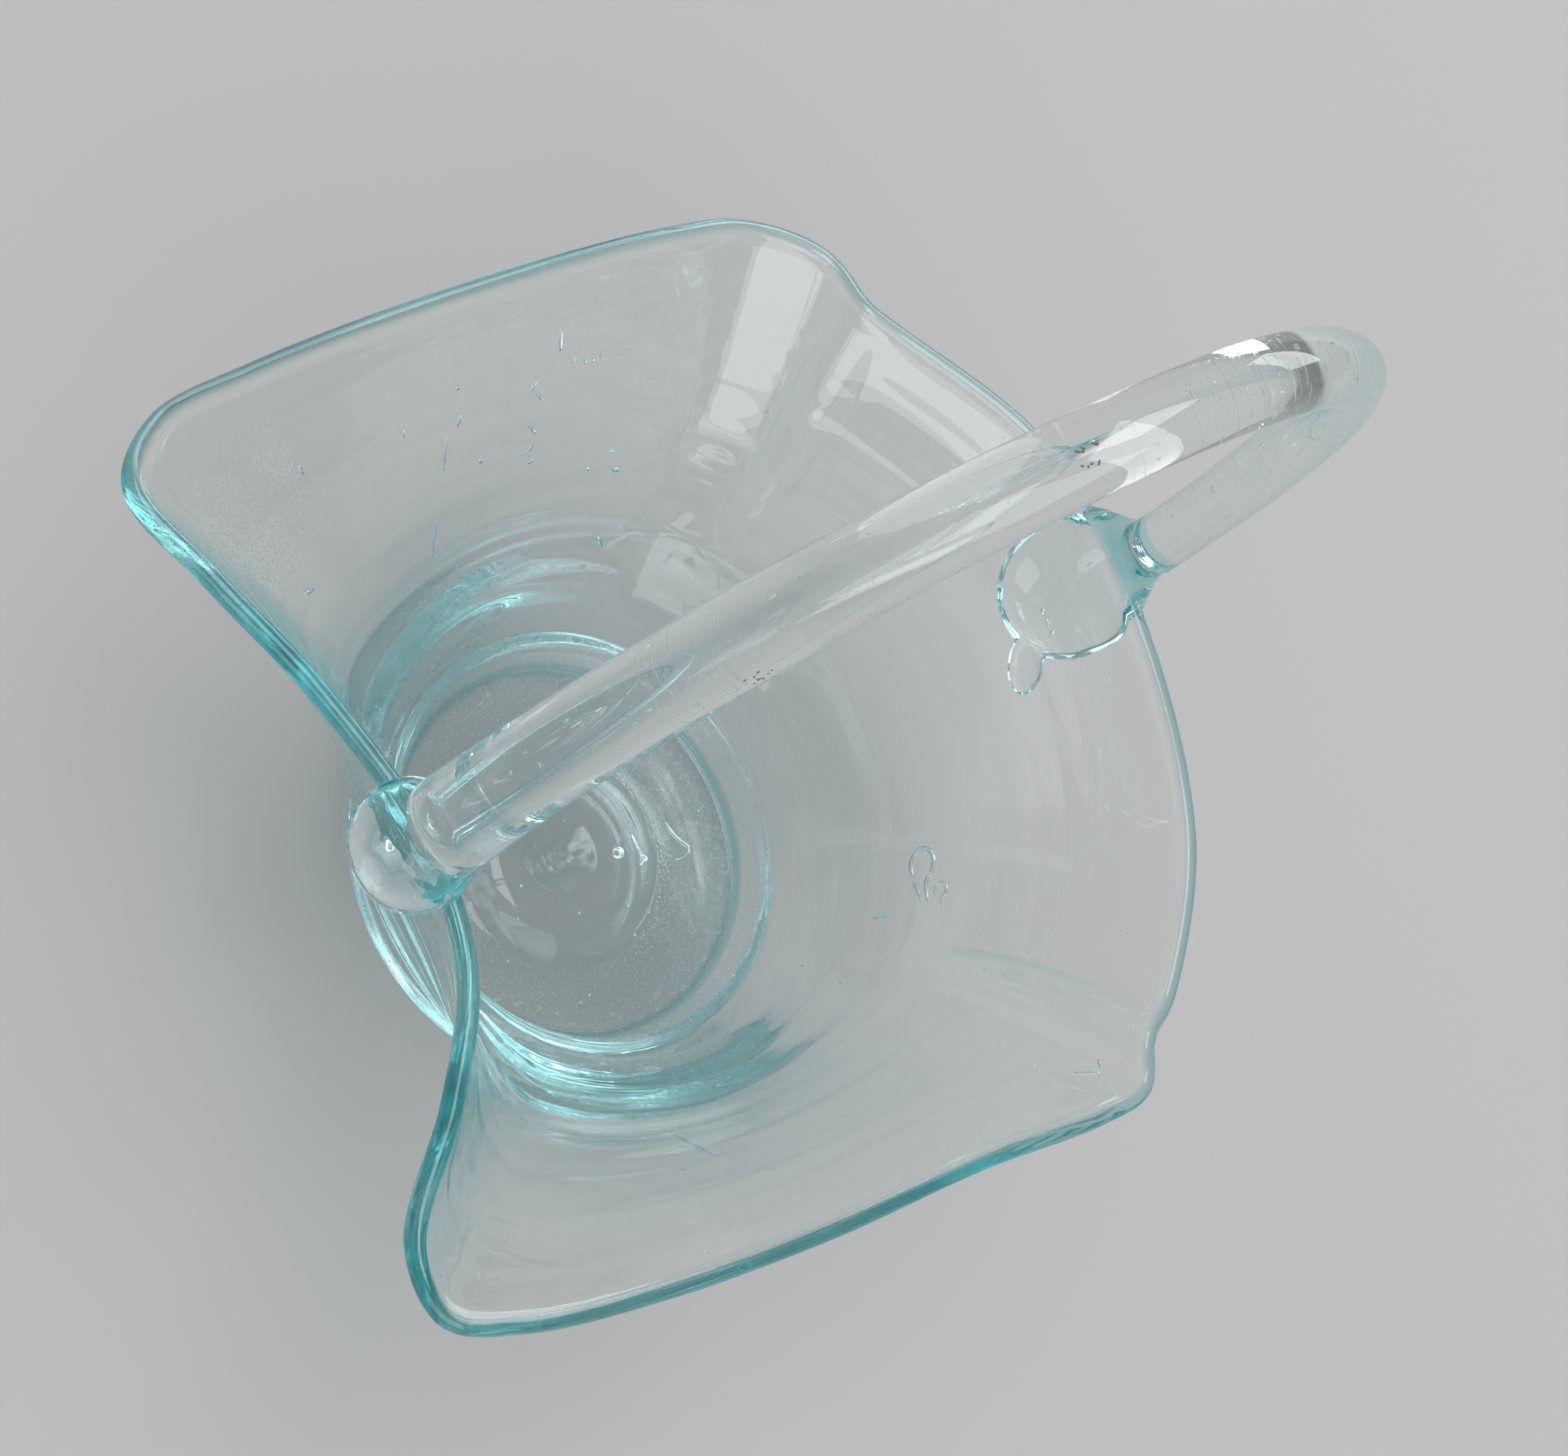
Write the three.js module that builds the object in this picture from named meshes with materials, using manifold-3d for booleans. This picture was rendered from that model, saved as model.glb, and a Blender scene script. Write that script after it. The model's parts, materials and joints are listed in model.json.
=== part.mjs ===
// A free-blown clear glass basket: a four-lobed bowl on a thick foot, and one drawn rod of glass
// bent over it as the handle, pressed flat outside the right wall and folded over the left lip.
// Millimetres, +Z up. The foot's middle is the working centre; at the end the basket is moved so
// that the middle of its footprint box lies at the origin. +X runs from the folded end of the
// handle to the pressed one, and +Y is to the left of that.
import * as THREE from 'three';
import { mergeVertices } from 'three/addons/utils/BufferGeometryUtils.js';
import Module from 'manifold-3d';

const wasm = await Module();
wasm.setup();

// Foot
const standInnerRadius = 24; // where the pushed-up middle of the underside begins
const standOuterRadius = 33.5; // outer edge of the flat ring that the basket rests on
const pushUp = 3; // rise of the underside's middle
const heelRadius = 40.5; // the foot's widest circle
const heelHeight = 10;
const floorHeight = 7; // top of the glass inside the foot
const floorRadius = 31; // where the inside floor turns up into the wall
const floorTurn = 4; // width of that turn
const floorDish = 0.6; // rise of the floor across it

// Wall, from the heel to the lip
const heelThickness = 7.5;
const wallThickness = 2.8;
const lipThickness = 3.4; // the fire-rounded edge is a little fatter than the wall
const bellySwell = 10; // how far the wall swells out just above the heel
const bellyHeight = 24; // height of that swell above the heel
const flareReachShare = 0.58; // the wall leaves its swell at this share of the way out to the lip
const flareHeightShare = 0.72; // and at this share of the way up to it

// Lip: how far each lobe, side and waist lies from the foot's middle, and its height
const rightWaistReach = 68;
const rightWaistHeight = 86;
const leftWaistReach = 67;
const leftWaistHeight = 83.5;
const rightLobeReach = 39;
const rightLobeSpread = 75;
const rightLobeHeight = 76;
const rightPanelWidth = 62; // half of the right panel, between the two nicks beside the lobes
const sideSpread = 78;
const sideHeight = 79;
const nearSideSpread = 72;
const nearSideHeight = 74;
const leftLobeReach = 85;
const leftLobeSpread = 68;
const leftLobeHeight = 82;
const nearLobeReach = 92;
const nearLobeSpread = 58;
const nearLobeHeight = 80;
const lobeRound = 10; // radius of a lobe's tip; the lip's bends beside the tips are shares of it

// Handle rod
const rodLeftInset = 0.5; // from the left waist's lip inwards to the rod's end over it
const rodRightOutset = 1.7; // from the right waist's lip outwards to the rod's end beside it
const rodLeftRise = 6.5; // from the left waist's lip up to the rod's end
const rodRightRise = 10;
const handleTop = 204; // highest point of the rod's centre line
const rodLeftDiameter = 14.5;
const rodTopDiameter = 11.3;
const rodRightDiameter = 9.8;
const archExponent = 1.92; // 2 would make the arch half an ellipse
const handleOffset = 3.4; // the handle stands this far to the +Y side of the foot's middle
const handleLeanAngle = 2.3; // degrees that it leans to that side
const handleSkew = -2.7; // how far the arch's top lies towards the right

// Folded left end, a soft lump that straddles the lip
const knobLength = 17.8;
const knobWidth = 20.4;
const knobHeight = 20;
const knobOverhang = 2.7; // from the lip outwards to the lump's middle

// Pressed right end, an oval pad outside the wall with a fan that narrows into the rod
const padWidth = 22;
const padDrop = 25.5; // from the lip down to the pad's lower edge
const padThickness = 4.9;
const padRim = 0.9; // thickness of the pad's rounded rim
const padSink = wallThickness / 2; // the pad is made this deep into the wall and then cut to fit it
const fanWidth = 20.5;
const fanThickness = 8.4;

// Scar where the basket was cracked off its holding rod
const scarRadius = 7;
const scarThickness = 1.4;
const scarRimWidth = 3.6; // the broken ring round its hollow middle
const scarChamfer = 0.5;

// Room left between two pieces that are fused on the real basket
const clearance = 0.3;

const lipSteps = 108;
const wallShares = [0, 0.1, 0.24, 0.4, 0.56, 0.72, 0.87, 0.96];
const lipAngles = [-25, 15, 55, 90, 125, 165, 205];
const rodSteps = 40;
const rodSides = 16;

const smooth = (share) => THREE.MathUtils.smoothstep(share, 0, 1);
const onCircle = (radius, turn, z) => new THREE.Vector3(radius * Math.cos(turn), radius * Math.sin(turn), z);
const around = (count, make) => Array.from({ length: count }, (unused, index) => make(index));

function glass(name, geometry, colour, roughness) {
  geometry.computeVertexNormals();
  const material = new THREE.MeshStandardMaterial({
    color: colour,
    roughness,
    metalness: 0,
    transparent: true,
    opacity: 0.45,
  });
  const mesh = new THREE.Mesh(geometry, material);
  mesh.name = name;
  return mesh;
}

// Skins a row of rings, each the same number of points anticlockwise, and closes both ends on a point.
function skin(rings, firstPole, lastPole) {
  const count = rings[0].length;
  const corners = [firstPole, ...rings.flat(), lastPole];
  const lastCorner = corners.length - 1;
  const faces = [];
  const at = (ring, step) => 1 + ring * count + (step % count);
  for (let step = 0; step < count; step += 1) {
    faces.push(0, at(0, step + 1), at(0, step));
    faces.push(lastCorner, at(rings.length - 1, step), at(rings.length - 1, step + 1));
  }
  for (let ring = 0; ring < rings.length - 1; ring += 1) {
    for (let step = 0; step < count; step += 1) {
      faces.push(at(ring, step), at(ring, step + 1), at(ring + 1, step + 1));
      faces.push(at(ring, step), at(ring + 1, step + 1), at(ring + 1, step));
    }
  }
  const geometry = new THREE.BufferGeometry();
  geometry.setAttribute('position', new THREE.Float32BufferAttribute(corners.flatMap((c) => c.toArray()), 3));
  geometry.setIndex(faces);
  return geometry;
}

function toSolid(geometry) {
  const bare = geometry.clone();
  bare.deleteAttribute('normal');
  bare.deleteAttribute('uv');
  const merged = mergeVertices(bare, 1e-4);
  const mesh = new wasm.Mesh({
    numProp: 3,
    vertProperties: Float32Array.from(merged.attributes.position.array),
    triVerts: Uint32Array.from(merged.index.array),
  });
  mesh.merge();
  return new wasm.Manifold(mesh);
}

function toGeometry(solid) {
  const mesh = solid.getMesh();
  const geometry = new THREE.BufferGeometry();
  geometry.setAttribute('position', new THREE.BufferAttribute(mesh.vertProperties, 3));
  geometry.setIndex(new THREE.BufferAttribute(mesh.triVerts, 1));
  return geometry;
}

// The lip's centre line, from the right waist round by +Y, as the few points that its shape needs.
function lipCurve() {
  const bend = lobeRound;
  const panelEdge = rightWaistReach - 1.8 * bend;
  const stations = [
    [rightWaistReach, -0.2 * bend, rightWaistHeight],
    [rightWaistReach - 0.15 * bend, rightPanelWidth * 0.45, rightWaistHeight - 0.3 * bend],
    [panelEdge + 0.1 * bend, rightPanelWidth * 0.9, rightLobeHeight + 0.3 * bend],
    [rightLobeReach + 0.8 * bend, rightLobeSpread - 0.6 * bend, rightLobeHeight + 0.1 * bend],
    [rightLobeReach - 0.3 * bend, rightLobeSpread + 0.2 * bend, rightLobeHeight],
    [rightLobeReach - 1.8 * bend, sideSpread + 0.1 * bend, sideHeight - 0.2 * bend],
    [-2.2 * bend, sideSpread + 0.1 * bend, sideHeight],
    [-leftLobeReach + 2.4 * bend, sideSpread - 0.2 * bend, leftLobeHeight],
    [-leftLobeReach + 0.7 * bend, leftLobeSpread + 0.5 * bend, leftLobeHeight],
    [-leftLobeReach - 0.1 * bend, leftLobeSpread - 0.3 * bend, leftLobeHeight],
    [-leftLobeReach + 0.4 * bend, leftLobeSpread - 1.9 * bend, leftLobeHeight + 0.1 * bend],
    [-leftWaistReach - 0.6 * bend, leftLobeSpread * 0.42, leftWaistHeight],
    [-leftWaistReach, 0.3 * bend, leftWaistHeight],
    [-leftWaistReach - 0.2 * bend, -nearLobeSpread * 0.28, leftWaistHeight - 0.1 * bend],
    [-nearLobeReach + 1.3 * bend, -nearLobeSpread * 0.56, nearLobeHeight + 0.1 * bend],
    [-nearLobeReach - 0.05 * bend, -nearLobeSpread + bend, nearLobeHeight],
    [-nearLobeReach, -nearLobeSpread - 0.1 * bend, nearLobeHeight - 0.1 * bend],
    [-nearLobeReach + 1.1 * bend, -nearLobeSpread - 0.65 * bend, nearLobeHeight - 0.2 * bend],
    [-nearLobeReach + 3.4 * bend, -nearSideSpread + 0.3 * bend, nearSideHeight + 0.2 * bend],
    [-2.7 * bend, -nearSideSpread, nearSideHeight + 0.1 * bend],
    [0.5 * bend, -nearSideSpread - 0.1 * bend, nearSideHeight],
    [rightLobeReach - 1.1 * bend, -rightLobeSpread, rightLobeHeight - 0.1 * bend],
    [rightLobeReach - 0.1 * bend, -rightLobeSpread + 0.1 * bend, rightLobeHeight - 0.1 * bend],
    [rightLobeReach + 0.4 * bend, -rightLobeSpread + 0.8 * bend, rightLobeHeight],
    [panelEdge - 0.1 * bend, -rightPanelWidth, rightLobeHeight + 0.1 * bend],
    [rightWaistReach - 0.5 * bend, -rightPanelWidth * 0.65, rightWaistHeight - 0.5 * bend],
  ];
  const points = stations.map((station) => new THREE.Vector3(...station));
  return { curve: new THREE.CatmullRomCurve3(points, true, 'centripetal'), leftWaist: 12 / stations.length };
}

// Points along the lip, as many from the right waist to the left one as back again, evenly spaced.
function lipPoints() {
  const { curve, leftWaist } = lipCurve();
  const fine = 2600;
  const half = lipSteps / 2;
  const walk = (from, to) => {
    const trail = around(fine + 1, (index) => curve.getPoint((from + ((to - from) * index) / fine) % 1));
    const lengths = [0];
    for (let index = 1; index <= fine; index += 1) {
      lengths.push(lengths[index - 1] + trail[index].distanceTo(trail[index - 1]));
    }
    return around(half, (step) => {
      const wanted = (lengths[fine] * step) / half;
      return trail[lengths.findIndex((length) => length >= wanted)];
    });
  };
  return [...walk(0, leftWaist), ...walk(leftWaist, 1)];
}

const lip = lipPoints();
const footTurn = (step) => (2 * Math.PI * step) / lipSteps;

// The middle of the wall's glass at a step round the lip and a share of the way up from the heel.
function wallMiddle(step, share) {
  const turn = footTurn(step);
  const foot = onCircle(heelRadius - wallThickness / 2, turn, heelHeight);
  const edge = lip[(step + lipSteps) % lipSteps];
  const belly = onCircle(heelRadius - wallThickness / 2 + bellySwell, turn, heelHeight + bellyHeight);
  const flare = foot.clone().lerp(edge, flareReachShare);
  flare.z = heelHeight + (edge.z - heelHeight) * flareHeightShare;
  return new THREE.CubicBezierCurve3(foot, belly, flare, edge).getPoint(share);
}

// Outward and upward directions of the wall there.
function wallDirections(step, share) {
  const reach = 0.01;
  const low = Math.max(share - reach, 0);
  const high = Math.min(share + reach, 1);
  const up = wallMiddle(step, high).sub(wallMiddle(step, low)).normalize();
  const along = wallMiddle(step + 1, share).sub(wallMiddle(step - 1, share)).normalize();
  const out = along.cross(up).normalize();
  return { up, out };
}

const glassThickness = (share) => {
  const thin = smooth(share / 0.42);
  return heelThickness + (wallThickness - heelThickness) * thin;
};

// A point on the outside of the wall, lifted off it by a height.
function outsideWall(step, share, lift) {
  const { out } = wallDirections(step, share);
  return wallMiddle(step, share).addScaledVector(out, wallThickness / 2 + lift);
}

function insideWall(step, share, lift) {
  const { out } = wallDirections(step, share);
  return wallMiddle(step, share).addScaledVector(out, wallThickness / 2 - glassThickness(share) - lift);
}

function lipEdge(step, angle, lift) {
  const { up, out } = wallDirections(step, 1);
  const turn = THREE.MathUtils.degToRad(angle);
  const radius = lipThickness / 2 + lift;
  const edge = wallMiddle(step, 1);
  return edge.addScaledVector(out, radius * Math.cos(turn)).addScaledVector(up, radius * Math.sin(turn));
}

const undersideHeight = (radius) => pushUp * (1 - (radius / standInnerRadius) ** 2);

// The bowl in one skin: under the foot, up the outside, over the lip and down to the floor.
// A lift grows it evenly, which is how the pieces fused to it are cut to fit.
function bowlGeometry(lift) {
  const ring = (make) => around(lipSteps, make);
  const circle = (radius, z) => ring((step) => onCircle(radius, footTurn(step), z));
  const domeRadius = standInnerRadius / 2;
  const cornerTurn = Math.PI / 4;
  const heelWidth = heelRadius + lift - standOuterRadius;
  const heelRise = heelHeight + lift;
  const rings = [
    circle(domeRadius, undersideHeight(domeRadius) - lift),
    circle(standInnerRadius, -lift),
    circle(standOuterRadius, -lift),
    ...[0.5, 1, 1.5].map((corner) => circle(
      standOuterRadius + heelWidth * Math.sin(corner * cornerTurn),
      -lift + heelRise * (1 - Math.cos(corner * cornerTurn)),
    )),
    ...wallShares.map((share) => ring((step) => outsideWall(step, share, lift))),
    ...lipAngles.map((angle) => ring((step) => lipEdge(step, angle, lift))),
    ...[...wallShares].reverse().map((share) => ring((step) => insideWall(step, share, lift))),
    circle(floorRadius - lift, floorHeight + floorDish + lift),
    circle(floorRadius - floorTurn, floorHeight + lift),
  ];
  return skin(rings, new THREE.Vector3(0, 0, pushUp - lift), new THREE.Vector3(0, 0, floorHeight + lift));
}

// The arch of the handle, from its left end at 0 to its right end at 1.
class HandleArch extends THREE.Curve {
  getPoint(share, target = new THREE.Vector3()) {
    const turn = Math.PI * (1 - share);
    const across = Math.sign(Math.cos(turn)) * Math.abs(Math.cos(turn)) ** (2 / archExponent);
    const rise = Math.abs(Math.sin(turn)) ** (2 / archExponent);
    const left = -leftWaistReach + rodLeftInset;
    const right = rightWaistReach + rodRightOutset;
    const leftEnd = leftWaistHeight + rodLeftRise;
    const rightEnd = rightWaistHeight + rodRightRise;
    const end = THREE.MathUtils.lerp(leftEnd, rightEnd, (1 + across) / 2);
    const z = end + (handleTop - end) * rise;
    const y = handleOffset + Math.tan(THREE.MathUtils.degToRad(handleLeanAngle)) * (z - leftEnd);
    return target.set(THREE.MathUtils.lerp(left, right, (1 + across) / 2) + handleSkew * rise, y, z);
  }
}

const arch = new HandleArch();

function rodRadius(share) {
  const ends = THREE.MathUtils.lerp(rodLeftDiameter, rodRightDiameter, share);
  const sag = (rodTopDiameter - (rodLeftDiameter + rodRightDiameter) / 2) * 4 * share * (1 - share);
  return (ends + sag) / 2;
}

function rodGeometry() {
  const sideways = new THREE.Vector3(0, 1, 0);
  const rings = around(rodSteps + 1, (index) => {
    const share = index / rodSteps;
    const centre = arch.getPointAt(share);
    const ahead = arch.getTangentAt(share);
    const across = sideways.clone().addScaledVector(ahead, -sideways.dot(ahead)).normalize();
    const outwards = ahead.clone().cross(across);
    const radius = rodRadius(share);
    return around(rodSides, (side) => {
      const turn = (2 * Math.PI * side) / rodSides;
      const point = centre.clone().addScaledVector(across, radius * Math.cos(turn));
      return point.addScaledVector(outwards, radius * Math.sin(turn));
    });
  });
  return skin(rings, arch.getPointAt(0), arch.getPointAt(1));
}

// A lump of glass: a ball with its own three radii, a little fuller towards the outside and below.
function knobGeometry(lift) {
  const middle = new THREE.Vector3(-leftWaistReach - knobOverhang, handleOffset, leftWaistHeight);
  const levels = 14;
  const sides = 28;
  const pole = (sign) => middle.clone().setZ(middle.z + sign * (knobHeight / 2 + lift));
  const rings = around(levels - 1, (level) => {
    const tilt = -Math.PI / 2 + (Math.PI * (level + 1)) / levels;
    return around(sides, (side) => {
      const turn = (2 * Math.PI * side) / sides;
      const fullness = 1 + 0.06 * Math.sin(-tilt) * Math.cos(turn + Math.PI);
      const x = (knobLength / 2 + lift) * Math.cos(tilt) * Math.cos(turn) * fullness;
      const y = (knobWidth / 2 + lift) * Math.cos(tilt) * Math.sin(turn) * fullness;
      const z = (knobHeight / 2 + lift) * Math.sin(tilt);
      return middle.clone().add(new THREE.Vector3(x, y, z));
    });
  });
  return skin(rings, pole(-1), pole(1));
}

// The oval pad, laid on the outside of the wall, thickest in its middle.
function padGeometry() {
  const padStep = (lipSteps * Math.atan2(handleOffset, rightWaistReach)) / (2 * Math.PI);
  const stepWidth = lip[1].distanceTo(lip[0]);
  const wallLength = rightWaistHeight - heelHeight;
  const lowShare = 1 - padDrop / wallLength;
  const middleShare = (1 + lowShare) / 2;
  const halfShare = (1 - lowShare) / 2;
  const sides = 28;
  const place = (reach, side, lift) => {
    const turn = (2 * Math.PI * side) / sides;
    const step = padStep + (reach * padWidth * Math.cos(turn)) / 2 / stepWidth;
    return padPoint(step, middleShare + reach * halfShare * Math.sin(turn), lift);
  };
  const spread = [0.35, 0.65, 0.88, 1];
  const dome = (reach) => padRim + (padThickness - padRim) * Math.sqrt(Math.max(1 - reach ** 2, 0));
  const inner = spread.map((reach) => around(sides, (side) => place(reach, side, -padSink)));
  const outer = [...spread].reverse().map((reach) => around(sides, (side) => place(reach, side, dome(reach))));
  const firstPole = padPoint(padStep, middleShare, -padSink);
  const lastPole = padPoint(padStep, middleShare, dome(0));
  return skin([...inner, ...outer], firstPole, lastPole);
}

// A point off the outside of the wall between two of its steps.
function padPoint(step, share, lift) {
  const low = Math.floor(step);
  return outsideWall(low, share, lift).lerp(outsideWall(low + 1, share, lift), step - low);
}

// The fan between the rod and the pad: round where it meets the rod, wide and flat at the lip.
function fanGeometry() {
  const top = arch.getPointAt(1);
  top.z -= clearance;
  const lipPoint = new THREE.Vector3(rightWaistReach + fanThickness / 2, handleOffset, rightWaistHeight);
  const low = lipPoint.clone();
  low.z = rightWaistHeight - padDrop * 0.32;
  const sides = 24;
  const levels = 9;
  const path = new THREE.QuadraticBezierCurve3(low, lipPoint, top);
  const rings = around(levels + 1, (level) => {
    const share = level / levels;
    const centre = path.getPoint(share);
    const narrow = smooth(Math.max(share - 0.1, 0) / 0.9);
    const width = THREE.MathUtils.lerp(fanWidth, rodRightDiameter, narrow) / 2;
    const depth = THREE.MathUtils.lerp(fanThickness, rodRightDiameter, narrow) / 2;
    return around(sides, (side) => {
      const turn = (2 * Math.PI * side) / sides;
      return centre.clone().add(new THREE.Vector3(depth * Math.cos(turn), width * Math.sin(turn), 0));
    });
  });
  return skin(rings, low, top);
}

function scarGeometry() {
  const top = undersideHeight(scarRadius) - clearance;
  const bottom = top - scarThickness;
  const profile = [
    [0, top],
    [scarRadius - scarChamfer, top],
    [scarRadius, top - scarChamfer],
    [scarRadius - scarRimWidth * 0.2, bottom + scarChamfer * 0.6],
    [scarRadius - scarRimWidth * 0.6, bottom],
    [scarRadius - scarRimWidth, bottom + scarChamfer],
    [0, bottom + scarChamfer * 0.8],
  ];
  const outline = profile.reverse().map(([radius, z]) => new THREE.Vector2(radius, z));
  const turned = new THREE.LatheGeometry(outline, 24);
  return turned.rotateX(Math.PI / 2);
}

const bowlToClear = toSolid(bowlGeometry(clearance));
const knobToClear = toSolid(knobGeometry(clearance));

const bowl = glass('bowl', bowlGeometry(0), 0xd3ecec, 0.04);

const knobSolid = toSolid(knobGeometry(0)).subtract(bowlToClear);
const knob = glass('handle_folded_end', toGeometry(knobSolid), 0xc4e6e6, 0.05);

const padSolid = toSolid(padGeometry()).add(toSolid(fanGeometry())).subtract(bowlToClear);
const pad = glass('handle_pressed_root', toGeometry(padSolid), 0x9fd8d8, 0.05);

const rodSolid = toSolid(rodGeometry()).subtract(knobToClear);
const rod = glass('handle_rod', toGeometry(rodSolid), 0xdcefee, 0.03);

const scar = glass('pontil_scar', scarGeometry(), 0xc9dedd, 0.35);

const pieces = new THREE.Group();
pieces.add(bowl, rod, knob, pad, scar);
const box = new THREE.Box3().setFromObject(pieces);
const middle = box.getCenter(new THREE.Vector3());
pieces.position.set(-middle.x, -middle.y, -box.min.z);

const basket = new THREE.Group();
basket.add(pieces);

export default basket;
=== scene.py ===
import json
import math
import random

import bpy
import numpy as np
from mathutils import Matrix, Vector
from mathutils.bvhtree import BVHTree
from mathutils.kdtree import KDTree

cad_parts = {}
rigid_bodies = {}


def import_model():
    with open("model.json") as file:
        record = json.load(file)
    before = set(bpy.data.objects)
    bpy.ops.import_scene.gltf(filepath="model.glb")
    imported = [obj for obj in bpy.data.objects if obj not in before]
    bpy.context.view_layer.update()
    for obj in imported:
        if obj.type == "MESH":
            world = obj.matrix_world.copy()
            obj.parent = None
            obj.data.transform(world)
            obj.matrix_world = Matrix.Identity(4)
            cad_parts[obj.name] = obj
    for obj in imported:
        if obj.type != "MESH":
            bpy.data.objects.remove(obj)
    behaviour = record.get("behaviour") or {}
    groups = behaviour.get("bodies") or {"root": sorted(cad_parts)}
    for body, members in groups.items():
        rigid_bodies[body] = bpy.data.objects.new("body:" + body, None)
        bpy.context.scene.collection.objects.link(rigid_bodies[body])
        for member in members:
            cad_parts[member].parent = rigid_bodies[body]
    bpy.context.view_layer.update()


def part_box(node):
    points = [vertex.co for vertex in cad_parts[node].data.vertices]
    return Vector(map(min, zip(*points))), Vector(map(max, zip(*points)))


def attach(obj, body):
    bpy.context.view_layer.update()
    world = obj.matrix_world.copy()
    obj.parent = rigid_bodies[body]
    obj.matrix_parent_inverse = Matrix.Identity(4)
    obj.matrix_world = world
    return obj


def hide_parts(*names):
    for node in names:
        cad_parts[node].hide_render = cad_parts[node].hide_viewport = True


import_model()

# Blown glass basket in metres, +Z up. The handle runs along X, from its folded end at -X to its
# pressed end at +X. Shapes are worked out round the foot's middle and then moved to where the
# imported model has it.

bl_info = {
    "name": "Blown glass basket",
    "version": (1, 0, 0),
    "blender": (4, 5, 0),
    "location": "View3D > Sidebar > Glass basket",
    "description": "A lobed, free-blown glass bowl with one drawn handle, and a pale studio stage",
    "category": "Add Mesh",
}

MM = 0.001
FUSED_GAP = 0.02 * MM  # pieces that are fused on the real basket stand this far apart
FUSED_REACH = 3 * FUSED_GAP  # a face within this reach of another piece is fused to it
GLASS_IOR = 1.5
LIGHT_PATHS = 200  # light runs far inside the wall before it leaves at the lip
CREASE_ANGLE = math.radians(38)  # edges sharper than this stay crisp
LIP_START = 0.975  # share of the wall's height where the rounded lip takes over
WALL_STEPS = 864  # columns of the finer wall that small pieces are placed on
ARCH_STEPS = 400  # points on the arch that bubbles and scale are placed by
FAN_TOP = 0.985  # place on the arch, from 0 to 1, where the fan has become the rod

# Where the wall is folded inwards, as shares of a turn from the right waist round by +Y
FOLD_TURNS = (0.1155, 0.869)
# Seeds that stand out: turn, share of the wall's height, slant in degrees, length and width in mm
LARGE_SEEDS = (
    (0.227, 0.83, 92, 5.4, 0.75),
    (0.221, 0.77, 92, 2.0, 0.40),
    (0.217, 0.76, 80, 1.9, 0.45),
    (0.2135, 0.76, 76, 1.9, 0.45),
    (0.210, 0.765, 60, 1.7, 0.40),
    (0.2385, 0.73, 120, 2.4, 0.60),
    (0.2365, 0.70, 60, 3.0, 0.70),
    (0.240, 0.62, 65, 3.6, 0.70),
    (0.240, 0.57, 120, 2.2, 0.60),
    (0.248, 0.594, 0, 4.0, 0.35),
    (0.2475, 0.545, 168, 4.4, 0.45),
    (0.240, 0.528, 20, 1.5, 1.10),
    (0.2725, 0.71, 115, 3.1, 0.75),
    (0.270, 0.79, 90, 1.0, 0.80),
    (0.265, 0.58, 90, 1.6, 0.90),
    (0.208, 0.466, 20, 1.4, 1.00),
    (0.192, 0.462, 30, 1.6, 1.00),
    (0.197, 0.51, 20, 1.9, 0.60),
    (0.190, 0.27, 55, 2.6, 1.00),
    (0.145, 0.26, 105, 4.0, 0.50),
    (0.296, 0.43, 106, 9.0, 0.55),
    (0.281, 0.645, 108, 7.5, 0.50),
    (0.296, 0.74, 100, 3.0, 0.40),
    (0.339, 0.77, 95, 2.3, 0.70),
    (0.3686, 0.55, 45, 3.0, 0.70),
    (0.890, 0.30, 68, 3.6, 0.60),
    (0.708, 0.545, 60, 13.0, 0.55),
    (0.851, 0.89, 50, 4.4, 0.60),
    (0.857, 0.905, 142, 2.8, 0.50),
    (0.905, 0.385, 140, 4.5, 0.55),
)
# Hooked bubbles low on the right wall: turn, share, radius and thickness in mm
SEED_HOOKS = ((0.9192, 0.390, 2.6, 0.8), (0.906, 0.440, 1.25, 0.55))
# A bent bubble in the foot: X and Y in mm from the foot's middle, its radius, and its depth under
# the floor
FOOT_HOOK = ((21.0, -1.3), (21.2, -3.6), (22.2, -5.8), (23.7, -7.5), (21.6, -8.5), (19.6, -8.3))
FOOT_HOOK_RADIUS = 0.42 * MM
FOOT_HOOK_DEPTH = 2.0 * MM
# The largest round bubble in the foot, in mm: X and Y from the foot's middle, length and width
FOOT_BUBBLE = (9.8, -3.6, 2.4, 2.2)
FOOT_SEED_HEIGHT = 5.0 * MM  # of every round bubble in the foot
# A row of tiny bubbles in the pressed pad: turn, share of the wall's height and size in mm
PAD_SEEDS = ((0.0080, 0.800, 0.9), (0.0052, 0.803, 0.6), (0.0030, 0.800, 0.6), (0.0004, 0.796, 0.8))
# Brown scale on the rod: share of the rod's length, degrees round it from +Y by the top
SCALE_SPOTS = ((0.245, 155), (0.422, 100))
SCALE_FLAKES = 9  # in each spot

# Grey of the surroundings, level with the eye and overhead
SKY = ((0.0, 0.20), (0.5, 0.34))
# Each soft lamp: name, azimuth and elevation in degrees, distance, width and depth in metres, watts
LAMPS = (
    ("near_window", 232, 30, 2.8, 3.6, 2.0, 50),
    ("overhead", 140, 82, 2.2, 1.3, 0.9, 17),
    ("back_window", 20, 28, 2.6, 1.8, 0.9, 25),
)
LAMP_TARGET = 80 * MM  # height that the lamps point at, over the foot's middle
FLOOR_RADIUS = 6  # metres
FLOOR_DROP = 0.1 * MM  # keeps a false contact shadow off the foot

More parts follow.
